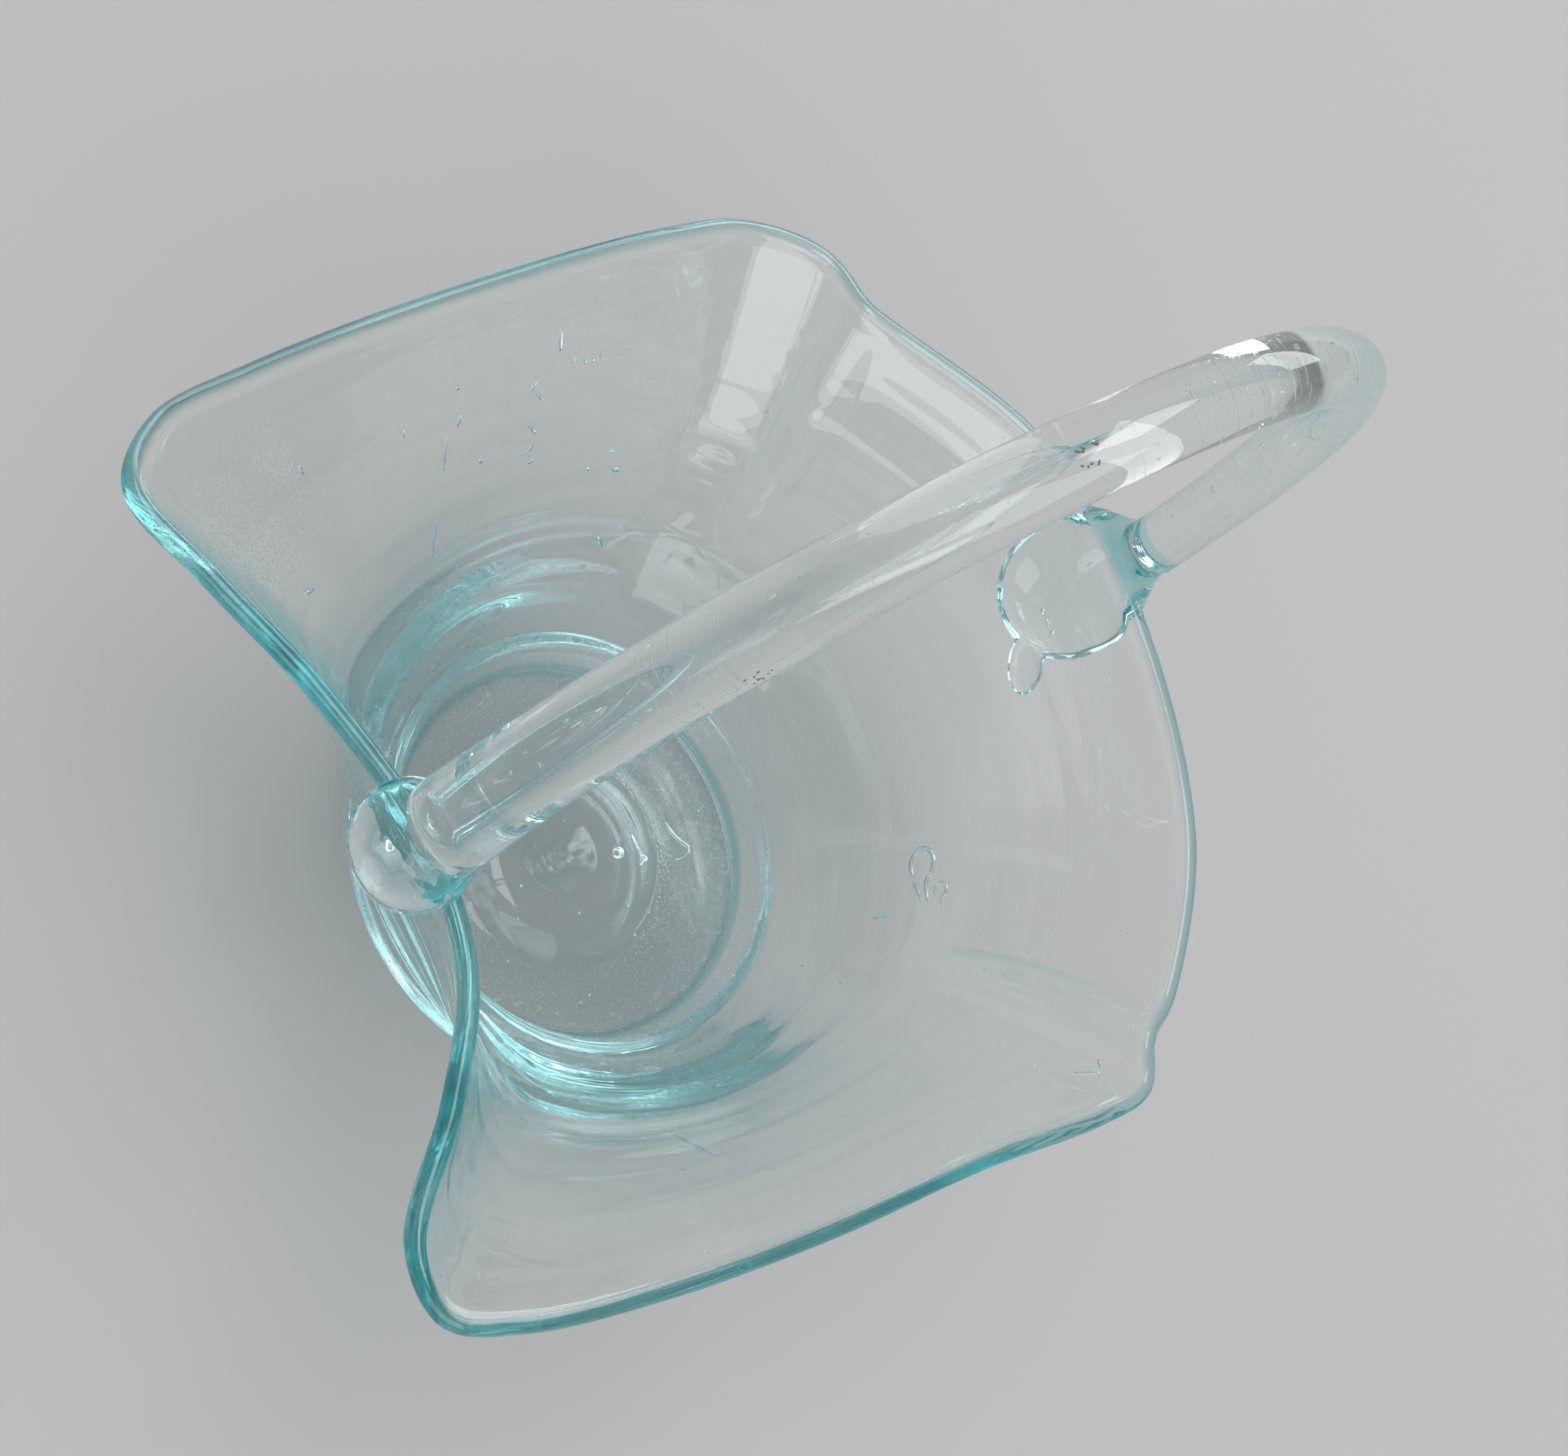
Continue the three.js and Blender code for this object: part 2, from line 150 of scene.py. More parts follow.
# The camera at the photograph's angle: width of the frame and focal length in pixels, distance,
# azimuth, elevation and roll in degrees, and the point it looks at in mm from the foot's middle
PHOTO_WIDTH = 1990
FOCAL_LENGTH = 4853.2
SENSOR_WIDTH = 36
CAMERA_DISTANCE = 620.7 * MM
CAMERA_ANGLES = (186.7, 54.9, 60.1)
CAMERA_TARGET = (20.3, 2.0, 51.1)


def length(name, millimetres, description):
    return bpy.props.FloatProperty(
        name=name, default=millimetres * MM, unit="LENGTH", precision=4, description=description
    )


def number(name, value, description):
    return bpy.props.FloatProperty(name=name, default=value, description=description)


def count(name, value, description):
    return bpy.props.IntProperty(name=name, default=value, min=3, description=description)


def colour(name, value, description):
    return bpy.props.FloatVectorProperty(
        name=name, default=value, subtype="COLOR", size=3, min=0, max=1, description=description
    )


class BasketBowl(bpy.types.PropertyGroup):
    stand_inner: length("Stand, inner radius", 24, "Where the pushed-up middle begins")
    stand_outer: length("Stand, outer radius", 33.5, "Outer edge of the flat resting ring")
    push_up: length("Push-up", 3, "Rise of the underside's middle")
    heel_radius: length("Heel radius", 40.5, "The foot's widest circle")
    heel_height: length("Heel height", 10, "Height of that circle")
    floor_height: length("Floor height", 7, "Top of the glass inside the foot")
    floor_radius: length("Floor radius", 31, "Where the inside floor turns up into the wall")
    heel_thickness: length("Heel thickness", 7.5, "Glass in the wall just above the foot")
    wall: length("Wall thickness", 2.8, "Glass in the upper wall")
    lip_thickness: length("Lip thickness", 3.4, "The fire-rounded edge")
    belly_swell: length("Belly swell", 10, "How far the wall swells out above the heel")
    belly_height: length("Belly height", 24, "Height of that swell above the heel")
    flare_reach: number("Flare reach", 0.58, "Share of the way out where the wall leaves its swell")
    flare_height: number("Flare height", 0.72, "Share of the way up where the wall leaves its swell")
    lobe_round: length("Lobe rounding", 10, "Radius of a lobe's tip")
    right_waist_reach: length("Right waist reach", 68, "From the foot's middle to the lip")
    right_waist_height: length("Right waist height", 86, "Height of the lip there")
    left_waist_reach: length("Left waist reach", 67, "From the foot's middle to the lip")
    left_waist_height: length("Left waist height", 83.5, "Height of the lip there")
    right_lobe_reach: length("Right lobes' reach", 39, "Along the handle")
    right_lobe_spread: length("Right lobes' spread", 75, "Across the handle")
    right_lobe_height: length("Right lobes' height", 76, "Height of the lip there")
    right_panel_width: length("Right panel", 62, "Half of the panel between the two creases")
    side_spread: length("Far side's spread", 78, "Across the handle")
    side_height: length("Far side's height", 79, "Height of the lip there")
    near_side_spread: length("Near side's spread", 72, "Across the handle")
    near_side_height: length("Near side's height", 74, "Height of the lip there")
    left_lobe_reach: length("Left lobe's reach", 85, "Along the handle")
    left_lobe_spread: length("Left lobe's spread", 68, "Across the handle")
    left_lobe_height: length("Left lobe's height", 82, "Height of the lip there")
    near_lobe_reach: length("Near lobe's reach", 92, "Along the handle")
    near_lobe_spread: length("Near lobe's spread", 58, "Across the handle")
    near_lobe_height: length("Near lobe's height", 80, "Height of the lip there")
    ripple: length("Ripple", 0.07, "How uneven the hand-blown wall is, on each face")
    fold_depth: length("Fold depth", 2.6, "How far the wall is folded in at the lip")
    fold_rib: number("Fold rib", 0.8, "Extra glass gathered in a fold, as a share of its depth")
    fold_width: number("Fold width", 0.0075, "Half of a fold's width, as a share of a turn")
    steps: count("Steps round the lip", 480, "Columns of faces round the bowl")
    rows: count("Rows up the wall", 60, "Rows of faces on each face of the wall")
    seeds: count("Seeds", 110, "Small bubbles scattered through the wall")
    foot_seeds: count("Foot seeds", 26, "Small bubbles scattered through the foot")


class BasketHandle(bpy.types.PropertyGroup):
    left_inset: length("Left inset", 0.5, "From the left waist's lip inwards to the rod's end")
    right_outset: length("Right outset", 1.7, "From the right waist's lip outwards to the rod's end")
    left_rise: length("Left rise", 6.5, "From the left waist's lip up to the rod's end")
    right_rise: length("Right rise", 10, "From the right waist's lip up to the rod's end")
    top: length("Top", 204, "Highest point of the rod's centre line")
    left_diameter: length("Left diameter", 14.5, "The rod at its folded end")
    top_diameter: length("Top diameter", 11.3, "The rod at its top")
    right_diameter: length("Right diameter", 9.8, "The rod at its pressed end")
    arch_exponent: number("Arch exponent", 1.92, "2 would make the arch half an ellipse")
    offset: length("Offset", 3.4, "How far the handle stands to the +Y side of the foot's middle")
    lean: bpy.props.FloatProperty(
        name="Lean", default=math.radians(2.3), subtype="ANGLE", description="Towards +Y"
    )
    skew: length("Skew", -2.7, "How far the arch's top lies towards the right")
    knob_length: length("Folded end, length", 17.2, "Along the handle")
    knob_width: length("Folded end, width", 19.6, "Along the lip")
    knob_height: length("Folded end, height", 19.4, "Upright")
    knob_overhang: length("Folded end, overhang", 2.4, "From the lip outwards to its middle")
    pad_width: length("Pad width", 22.5, "The pressed pad, along the lip")
    pad_drop: length("Pad drop", 22.5, "From the lip down to the pad's lower edge")
    pad_shift: length("Pad shift", 0.7, "How far the pad lies towards +Y from the rod")
    pad_thickness: length("Pad thickness", 4.9, "In the pad's middle")
    pad_rim: length("Pad rim", 0.9, "Thickness of the pad's rounded rim")
    fan_width: length("Fan width", 20.5, "At the lip")
    fan_shift: length("Fan shift", 1.3, "How far the fan spreads towards +Y from the rod, at the lip")
    fan_thickness: length("Fan thickness", 8.4, "At the lip")
    end_drop: length("End drop", 7, "How far the rod's soft left end sags onto the lip")
    drip_width: length("Drip width", 6.6, "The drip beside the pad")
    drip_length: length("Drip length", 10.5, "Down the wall")
    drip_thickness: length("Drip thickness", 1.5, "In its middle")
    drip_aside: length("Drip aside", 9.2, "From the rod towards -Y")
    drip_slant: bpy.props.FloatProperty(
        name="Drip slant", default=35, description="Degrees that the drip rises towards the pad"
    )
    steps: count("Steps along the rod", 220, "Rings of faces")
    sides: count("Sides of the rod", 72, "Faces round the rod")
    seeds: count("Seeds", 60, "Small bubbles in the rod")


class BasketScar(bpy.types.PropertyGroup):
    radius: length("Radius", 7, "Of the scar under the foot")
    thickness: length("Thickness", 1.4, "Of the glass left behind")


class BasketFinish(bpy.types.PropertyGroup):
    tint: colour("Tint", (0.30, 0.765, 0.785), "What deep glass lets through")
    density: number("Density", 11.0, "How fast the tint builds up, per metre")
    # Painted edge tint: the glass's colour turns to this where it is seen edge-on, standing in for light
    # piped through the glass
    edge: colour("Edges", (0.40, 0.80, 0.80), "What rounded edges pipe to the eye")
    # Painted edge tint of the rod, standing in for light piped along the rod to its sides
    rod_painted_edge_tint: colour("Rod's edges", (0.22, 0.68, 0.69), "What the rod's sides pipe to the eye")
    # Painted tint on the lip and on a ring at the floor's inner corner, standing in for light piped
    # along the lip and refracted at the corner
    lip: colour("Lip", (0.42, 0.77, 0.785), "Shade of the lip and of the floor's inner corner")
    # Painted tint of the rod's right leg, standing in for light piped along it
    painted_leg_tint: colour("Rod's right leg", (0.42, 0.78, 0.79), "Shade of the rod near its pressed end")
    # Painted tint of the fan above the lip, standing in for light piped through it
    fan: colour("Fan", (0.42, 0.80, 0.81), "Shade of the fan above the lip")
    floor: colour("Floor", (0.50, 0.50, 0.50), "Pale studio floor")


def middle_of_foot():
    low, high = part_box("pontil_scar")
    return np.array([(low.x + high.x) / 2, (low.y + high.y) / 2, 0.0])


# Shapes


def smooth(value):
    value = np.clip(value, 0, 1)
    return value * value * (3 - 2 * value)


def lerp(start, end, amount):
    return start + (end - start) * amount


def unit(vectors):
    return vectors / np.linalg.norm(vectors, axis=-1, keepdims=True)


def closed_curve(stations, places):
    """Points at places from 0 to 1 on a closed, centripetal Catmull-Rom curve through stations."""
    total = len(stations)
    place = (np.asarray(places) % 1) * total
    first = np.floor(place).astype(int) % total
    way = (place - np.floor(place))[:, None]
    before, start, end, after = (stations[(first + k) % total] for k in (-1, 0, 1, 2))
    gap0, gap1, gap2 = (
        np.sqrt(np.linalg.norm(b - a, axis=1, keepdims=True))
        for a, b in ((before, start), (start, end), (end, after))
    )
    leave = (start - before) / gap0 - (end - before) / (gap0 + gap1) + (end - start) / gap1
    arrive = (end - start) / gap1 - (after - start) / (gap1 + gap2) + (after - end) / gap2
    leave = leave * gap1
    arrive = arrive * gap1
    cubic = 2 * start - 2 * end + leave + arrive
    square = -3 * start + 3 * end - 2 * leave - arrive
    return start + leave * way + square * way**2 + cubic * way**3


def lip_stations(b):
    """The few points that the lip's centre line needs, from the right waist round by +Y.

    Small steps aside are in lobe roundings."""
    bend = b.lobe_round
    panel_edge = b.right_waist_reach - 1.8 * bend
    right_x, right_z = b.right_waist_reach, b.right_waist_height
    left_x, left_z = -b.left_waist_reach, b.left_waist_height
    lobe_x, lobe_y, lobe_z = b.right_lobe_reach, b.right_lobe_spread, b.right_lobe_height
    far_x, far_y, far_z = -b.left_lobe_reach, b.left_lobe_spread, b.left_lobe_height
    near_x, near_y, near_z = -b.near_lobe_reach, -b.near_lobe_spread, b.near_lobe_height
    side_y, side_z = b.side_spread, b.side_height
    low_y, low_z = -b.near_side_spread, b.near_side_height
    stations = [
        [right_x, -0.2 * bend, right_z],
        [right_x - 0.15 * bend, b.right_panel_width * 0.45, right_z - 0.3 * bend],
        [panel_edge + 0.1 * bend, b.right_panel_width * 0.9, lobe_z + 0.3 * bend],
        [lobe_x + 0.8 * bend, lobe_y - 0.6 * bend, lobe_z + 0.1 * bend],
        [lobe_x - 0.3 * bend, lobe_y + 0.2 * bend, lobe_z],
        [lobe_x - 1.8 * bend, side_y + 0.1 * bend, side_z - 0.2 * bend],
        [-2.2 * bend, side_y + 0.1 * bend, side_z],
        [far_x + 2.4 * bend, side_y - 0.2 * bend, far_z],
        [far_x + 0.7 * bend, far_y + 0.5 * bend, far_z],
        [far_x - 0.1 * bend, far_y - 0.3 * bend, far_z],
        [far_x + 0.4 * bend, far_y - 1.9 * bend, far_z + 0.1 * bend],
        [left_x - 0.6 * bend, far_y * 0.42, left_z],
        [left_x, 0.3 * bend, left_z],
        [left_x - 0.2 * bend, near_y * 0.28, left_z - 0.1 * bend],
        [near_x + 1.3 * bend, near_y * 0.56, near_z + 0.1 * bend],
        [near_x - 0.05 * bend, near_y + bend, near_z],
        [near_x, near_y - 0.1 * bend, near_z - 0.1 * bend],
        [near_x + 1.1 * bend, near_y - 0.65 * bend, near_z - 0.2 * bend],
        [near_x + 3.4 * bend, low_y + 0.3 * bend, low_z + 0.2 * bend],
        [-2.7 * bend, low_y, low_z + 0.1 * bend],
        [0.5 * bend, low_y - 0.1 * bend, low_z],
        [lobe_x - 1.1 * bend, -lobe_y, lobe_z - 0.1 * bend],
        [lobe_x - 0.1 * bend, -lobe_y + 0.1 * bend, lobe_z - 0.1 * bend],
        [lobe_x + 0.4 * bend, -lobe_y + 0.8 * bend, lobe_z],
        [panel_edge - 0.1 * bend, -b.right_panel_width, lobe_z + 0.1 * bend],
        [right_x - 0.5 * bend, -b.right_panel_width * 0.65, right_z - 0.5 * bend],
    ]
    return np.array(stations), 12 / len(stations)


def lip_line(b, steps):
    """Points round the lip, as many from the right waist to the left one as back again."""
    stations, left_waist = lip_stations(b)
    halves = []
    for start, end in ((0, left_waist), (left_waist, 1)):
        trail = closed_curve(stations, np.linspace(start, end, 2601))
        walked = np.concatenate([[0], np.cumsum(np.linalg.norm(np.diff(trail, axis=0), axis=1))])
        wanted = np.arange(steps // 2) * walked[-1] / (steps // 2)
        halves.append(np.stack([np.interp(wanted, walked, trail[:, axis]) for axis in range(3)], 1))
    return np.concatenate(halves)


def circle(radius, height, turns):
    return np.stack(
        [radius * np.cos(turns), radius * np.sin(turns), np.broadcast_to(height, turns.shape)], -1
    )


class Wall:
    """The middle surface of the bowl's wall, from the heel at share 0 to the lip at share 1."""

    def __init__(self, b, steps, shares):
        self.b = b
        self.steps = steps
        self.shares = np.asarray(shares, float)
        self.turns = 2 * np.pi * np.arange(steps) / steps
        lip = lip_line(b, steps)
        foot = circle(b.heel_radius - b.wall / 2, b.heel_height, self.turns)
        belly = circle(
            b.heel_radius - b.wall / 2 + b.belly_swell, b.heel_height + b.belly_height, self.turns
        )
        flare = lerp(foot, lip, b.flare_reach)
        flare[:, 2] = b.heel_height + (lip[:, 2] - b.heel_height) * b.flare_height
        s = self.shares[:, None, None]
        self.middle = (
            foot * (1 - s) ** 3
            + belly * 3 * s * (1 - s) ** 2
            + flare * 3 * s**2 * (1 - s)
            + lip * s**3
        )
        self.up = unit(
            3 * (belly - foot) * (1 - s) ** 2
            + 6 * (flare - belly) * s * (1 - s)
            + 3 * (lip - flare) * s**2
        )
        self.out = self.outwards()
        self.middle = self.middle - self.out * self.folds()
        self.out = self.outwards()

    def outwards(self):
        along = np.roll(self.middle, -1, axis=1) - np.roll(self.middle, 1, axis=1)
        return unit(np.cross(along, self.up))

    def folds(self):
        """How far the wall is pressed in where a lobe was pinched against the right panel."""
        away = [(self.turns / (2 * np.pi) - turn + 0.5) % 1 - 0.5 for turn in FOLD_TURNS]
        crease = sum(np.exp(-((gap / self.b.fold_width) ** 2)) for gap in away)
        deepening = smooth((self.shares - 0.38) / 0.3)
        easing = 1 - 0.45 * smooth((self.shares - 0.8) / 0.2)
        return (self.b.fold_depth * (deepening * easing)[:, None] * crease[None])[..., None]

    def thickness(self):
        thin_from = 0.42  # share of the wall's height where it has thinned out
        thin = smooth(self.shares / thin_from)[:, None, None]
        return self.b.heel_thickness + (self.b.wall - self.b.heel_thickness) * thin

    def uneven(self, seed):
        """Faint rings from turning the glass and soft cords from swinging it."""
        draw = random.Random(seed)
        turn, share = self.turns[None], self.shares[:, None]
        total = np.zeros((len(self.shares), self.steps))
        for rings in (5, 8, 12, 17, 24):
            phase = draw.uniform(0, 2 * math.pi)
            sway = draw.uniform(0.6, 1.8) * np.sin(turn * draw.choice((1, 2, 3)) + phase)
            total += np.sin(2 * np.pi * rings * share + sway + phase) * (5 / rings) ** 0.5
        for waves in (3, 5, 7, 10, 14):
            phase = draw.uniform(0, 2 * math.pi)
            drift = draw.uniform(-3, 3) * share
            total += 1.3 * share * np.sin(waves * turn + drift + phase) * (3 / waves) ** 0.5
        fade = smooth(self.shares / 0.15) * smooth((1 - self.shares) / 0.12)
        return (self.b.ripple * 0.5 * total * fade[:, None])[..., None]

    def spot(self, turn, share):
        """The middle of the glass at a place on the wall, the directions there and the thickness."""
        row = int(round(share * (len(self.shares) - 1)))
        column = int(round(turn * self.steps)) % self.steps
        up, out = self.up[row, column], self.out[row, column]
        thick = self.thickness()[row, 0, 0]
        middle = self.middle[row, column] + out * (self.b.wall - thick) / 2
        return middle, unit(np.cross(up, out)), up, out, thick

    def outside(self, lift=0.0):
        return self.middle + self.out * (self.b.wall / 2 + self.uneven(3) + lift)

    def inside(self, lift=0.0):
        thick = self.thickness() + self.b.fold_rib * self.folds() + self.uneven(11)
        return self.middle + self.out * (self.b.wall / 2 - thick - lift)


def underside(b, radius):
    """Height of the pushed-up underside at this distance from the foot's middle."""
    level, slope = 0.48, 0.40  # widths of its level middle and its slope, as shares of stand_inner
    return b.push_up * (1 - float(smooth((radius / b.stand_inner - level) / slope)))


def bowl_rows(b, lift=0.0):
    """The bowl in one skin: under the foot, up the outside, over the lip and down to the floor."""
    turns = 2 * np.pi * np.arange(b.steps) / b.steps
    wall = Wall(b, b.steps, np.linspace(0, LIP_START, b.rows))
    edge = Wall(b, b.steps, [1.0])
    scar = bpy.context.scene.basket_scar.radius
    radii = [*np.linspace(0, scar, 4), *np.linspace(scar, b.stand_inner, 10)[1:]]
    under = [circle(radius, underside(b, radius) - lift, turns) for radius in radii]
    stand = [circle(radius, -lift, turns) for radius in np.linspace(b.stand_inner, b.stand_outer, 6)[1:]]
    heel = [
        circle(
            b.stand_outer + (b.heel_radius + lift - b.stand_outer) * math.sin(corner),
            -lift + (b.heel_height + lift) * (1 - math.cos(corner)),
            turns,
        )
        for corner in np.radians(np.linspace(8, 80, 10))
    ]
    bead = b.lip_thickness / 2 + lift
    lip = [
        edge.middle[0] + bead * (math.cos(angle) * edge.out[0] + math.sin(angle) * edge.up[0])
        for angle in np.radians(np.linspace(-25, 205, 16))
    ]
    # The inside corner between wall and floor, as radius and height: its ends and its knuckle
    inside = wall.inside(lift)
    corner_top = np.linalg.norm(inside[0, 0, :2]), inside[0, 0, 2]
    corner_low = b.floor_radius + 0.2 * MM, b.floor_height + lift
    knuckle = b.floor_radius + 1.3 * MM, b.floor_height + 0.05 * MM + lift
    floor = []
    for way in np.linspace(0, 1, 9)[1:]:
        radius, height = (
            top * (1 - way) ** 2 + 2 * bend * way * (1 - way) + low * way**2
            for top, bend, low in zip(corner_top, knuckle, corner_low)
        )
        floor.append(circle(radius, height, turns))
    floor += [circle(radius, corner_low[1], turns) for radius in np.linspace(corner_low[0], 0, 8)[1:]]
    return np.array([*under, *stand, *heel, *wall.outside(lift), *lip, *inside[::-1], *floor])


def arch_point(b, h, places):
    """Points on the middle of the handle's rod, from its left end at 0 to its right end at 1."""
    turn = np.pi * (1 - np.asarray(places, float))
    across = np.sign(np.cos(turn)) * np.abs(np.cos(turn)) ** (2 / h.arch_exponent)
    rise = np.abs(np.sin(turn)) ** (2 / h.arch_exponent)
    left = -b.left_waist_reach + h.left_inset
    right = b.right_waist_reach + h.right_outset
    left_end = b.left_waist_height + h.left_rise
    right_end = b.right_waist_height + h.right_rise
    end = lerp(left_end, right_end, (1 + across) / 2)
    z = end + (h.top - end) * rise
    x = lerp(left, right, (1 + across) / 2) + h.skew * rise
    y = h.offset + math.tan(h.lean) * (z - left_end)
    return np.stack([x, y, z], -1)


def even_arch(b, h, steps):
    """Evenly spaced points on the arch, and the direction of the rod at each."""
    trail = arch_point(b, h, np.linspace(0, 1, 6001))
    walked = np.concatenate([[0], np.cumsum(np.linalg.norm(np.diff(trail, axis=0), axis=1))])
    wanted = np.linspace(0, walked[-1], steps + 1)
    points = np.stack([np.interp(wanted, walked, trail[:, axis]) for axis in range(3)], 1)
    ahead = unit(np.gradient(points, axis=0))
    return points, ahead


def rod_frame(ahead):
    """The directions across the rod, sideways and away from the middle of the arch."""
    sideways = np.array([0.0, 1.0, 0.0])
    across = unit(sideways - ahead * ahead[:, 1:2])
    return across, np.cross(ahead, across)


def rod_radius(h, way):
    ends = lerp(h.left_diameter, h.right_diameter, way)
    swell = (h.top_diameter - (h.left_diameter + h.right_diameter) / 2) * 4 * way * (1 - way)
    return (ends + swell) / 2


def rod_rows(b, h):
    points, ahead = even_arch(b, h, h.steps)
    way = np.linspace(0, 1, h.steps + 1)
    across, away = rod_frame(ahead)
    turns = 2 * np.pi * np.arange(h.sides) / h.sides
    # Drawn by hand, so a little thicker and thinner along its length, and faintly oval
    uneven = 1 + 0.009 * np.sin(23 * way + 1.3) + 0.006 * np.sin(51 * way + 0.4)
    uneven = uneven[:, None] + 0.014 * np.cos(2 * turns[None] + 5 * way[:, None])
    reach = (rod_radius(h, way)[:, None] * uneven)[..., None]
    ring = across[:, None] * np.cos(turns)[None, :, None] + away[:, None] * np.sin(turns)[None, :, None]
    body = points[:, None] + ring * reach
    # The soft left end, rounded off as it sags
    sag = []
    for corner in np.linspace(90, 6, 15):
        size = math.cos(math.radians(corner)) ** 0.8
        drop = ahead[0] * h.end_drop * math.sin(math.radians(corner))
        sag.append(points[0] - drop + (body[0] - points[0]) * (size if corner < 90 else 0))
    cap = [points[-1] + (body[-1] - points[-1]) * inner for inner in (0.75, 0.5, 0.25, 0.0)]
    return np.array([*sag, *body, *cap])


def ball_rows(centre, size, sides, levels, power=2.0):
    """A soft, slightly square lump, from its lowest point up."""
    tilt = np.linspace(-np.pi / 2, np.pi / 2, levels + 1)[:, None]
    turn = (2 * np.pi * np.arange(sides) / sides)[None]

    def squared(value):
        return np.sign(value) * np.abs(value) ** (2 / power)

    x = squared(np.cos(tilt)) * squared(np.cos(turn)) * size[0] / 2
    y = squared(np.cos(tilt)) * squared(np.sin(turn)) * size[1] / 2
    z = squared(np.sin(tilt)) * np.ones_like(turn) * size[2] / 2
    return np.stack([x, y, z], -1) + centre


def knob_centre(b, h):
    return np.array([-b.left_waist_reach - h.knob_overhang, h.offset, b.left_waist_height])


def knob_rows(b, h, lift=0.0):
    """The folded end, a little fuller at its outer foot, where it sags."""
    size = np.array([h.knob_length, h.knob_width, h.knob_height]) + 2 * lift
    squareness, fullness = 2.12, 0.06
    rows = ball_rows(knob_centre(b, h), size, sides=96, levels=64, power=squareness)
    offset = rows - knob_centre(b, h)
    low = -offset[..., 2:3] / (h.knob_height / 2)
    outer = -offset[..., 0:1] / (h.knob_length / 2)
    rows[..., :2] = knob_centre(b, h)[:2] + offset[..., :2] * (1 + fullness * low * outer)
    return rows


def lip_turn(b, y):
    """The share of a turn at which the right waist's lip has this y."""
    columns = np.arange(-60, 61)
    return float(np.interp(y, lip_line(b, WALL_STEPS)[columns, 1], columns / WALL_STEPS))


def patch_rows(b, turn, share, width, height, slant, bulge, square=2.0):
    """An oval bit of glass pressed on the outside of the wall, squarer towards the lip if need be.

    bulge is its thickness in the middle and at the rim."""
    steps = WALL_STEPS
    lowest, last_row = 0.5, 100  # the upper half of the wall
    rows_per_wall = last_row / (1 - lowest)
    outer = Wall(b, steps, np.linspace(lowest, 1, last_row + 1))
    column, level = int(steps * turn) % steps, int((share - lowest) * rows_per_wall)
    step_width = np.linalg.norm(outer.middle[level, column] - outer.middle[level, column - 1])
    row_height = np.linalg.norm(outer.middle[level, column] - outer.middle[level - 1, column])
    turns = 2 * np.pi * np.arange(96) / 96
    faces = outer.outside()
    power = 2 / np.where(np.sin(turns) > 0, square, 2.0)
    across = np.sign(np.cos(turns)) * np.abs(np.cos(turns)) ** power * width / 2
    upright = np.sign(np.sin(turns)) * np.abs(np.sin(turns)) ** power * height / 2
    lean = math.radians(slant)
    sideways = across * math.cos(lean) - upright * math.sin(lean)
    upwards = across * math.sin(lean) + upright * math.cos(lean)

    def point(reach, above):
        step = steps * turn + reach * sideways / step_width
        row = (share - lowest) * rows_per_wall + reach * upwards / row_height
        row = np.clip(row, 0, last_row - 0.001)
        i, j = np.floor(row).astype(int), np.floor(step).astype(int)
        along, upward = (step - j)[:, None], (row - i)[:, None]

        def blend(grid):
            below = lerp(grid[i, j % steps], grid[i, (j + 1) % steps], along)
            higher = lerp(grid[i + 1, j % steps], grid[i + 1, (j + 1) % steps], along)
            return lerp(below, higher, upward)

        return blend(faces) + blend(outer.out) * above

    thickness, rim = bulge
    spread = np.sin(np.linspace(0, np.pi / 2, 14))
    inner = [point(reach, -b.wall / 2) for reach in spread]
    swell = rim + (thickness - rim) * np.sqrt(1 - spread**2)
    dome = [point(reach, above) for reach, above in zip(spread[::-1], swell[::-1])]
    return np.array([*inner, *dome])


def pad_rows(b, h):
    turn = lip_turn(b, h.offset + h.pad_shift)
    return patch_rows(
        b, turn, 0.86, h.pad_width, h.pad_drop, 0, (h.pad_thickness, h.pad_rim), square=3.6
    )


def drip_rows(b, h):
    turn = lip_turn(b, h.offset - h.drip_aside)
    return patch_rows(
        b, turn, 0.722, h.drip_length, h.drip_width, h.drip_slant, (h.drip_thickness, 0.5 * MM)
    )


def fan_rows(b, h):
    """The fan between the rod and the pad: round at the rod, wide and flat at the lip."""
    end, above = arch_point(b, h, [1.0, FAN_TOP])
    lip_z = b.right_waist_height
    lip_x = b.right_waist_reach + h.fan_thickness / 2
    sink = h.pad_drop * 0.55  # how far below the lip the fan reaches into the pad
    sides = 64
    turns = 2 * np.pi * np.arange(sides) / sides
    rows = []
    for z in np.linspace(lip_z - sink, above[2], 56):
        climb = min(max((z - lip_z) / (end[2] - lip_z), 0), 1)
        sunk = min(max((lip_z - z) / sink, 0), 1)
        x = lerp(lip_x, end[0], float(smooth(climb))) - sunk * sink * 0.48
        y = lerp(h.offset + h.fan_shift, end[1], float(smooth(climb)))
        if z > end[2]:
            x, y = lerp(end, above, (z - end[2]) / (above[2] - end[2]))[:2]
        pinch = 1 - 0.05 * math.exp(-(((climb - 0.78) / 0.1) ** 2))  # a slight neck under the rod
        width = lerp(h.right_diameter, h.fan_width, (1 - climb) ** 2.2) * pinch
        depth = lerp(h.right_diameter, h.fan_thickness, 1 - climb) * pinch
        rounded = math.sqrt(1 - sunk**2) / 2
        wrap = h.fan_thickness / 2 * (1 - climb) ** 1.5 * np.sin(turns) ** 2
        inwards = depth * rounded * np.cos(turns) - wrap
        sideways = width * rounded * np.sin(turns)
        rows.append(np.array([x, y, z]) + np.stack([inwards, sideways, np.zeros(sides)], -1))
    return np.array([*rows, np.broadcast_to(above, (sides, 3))])


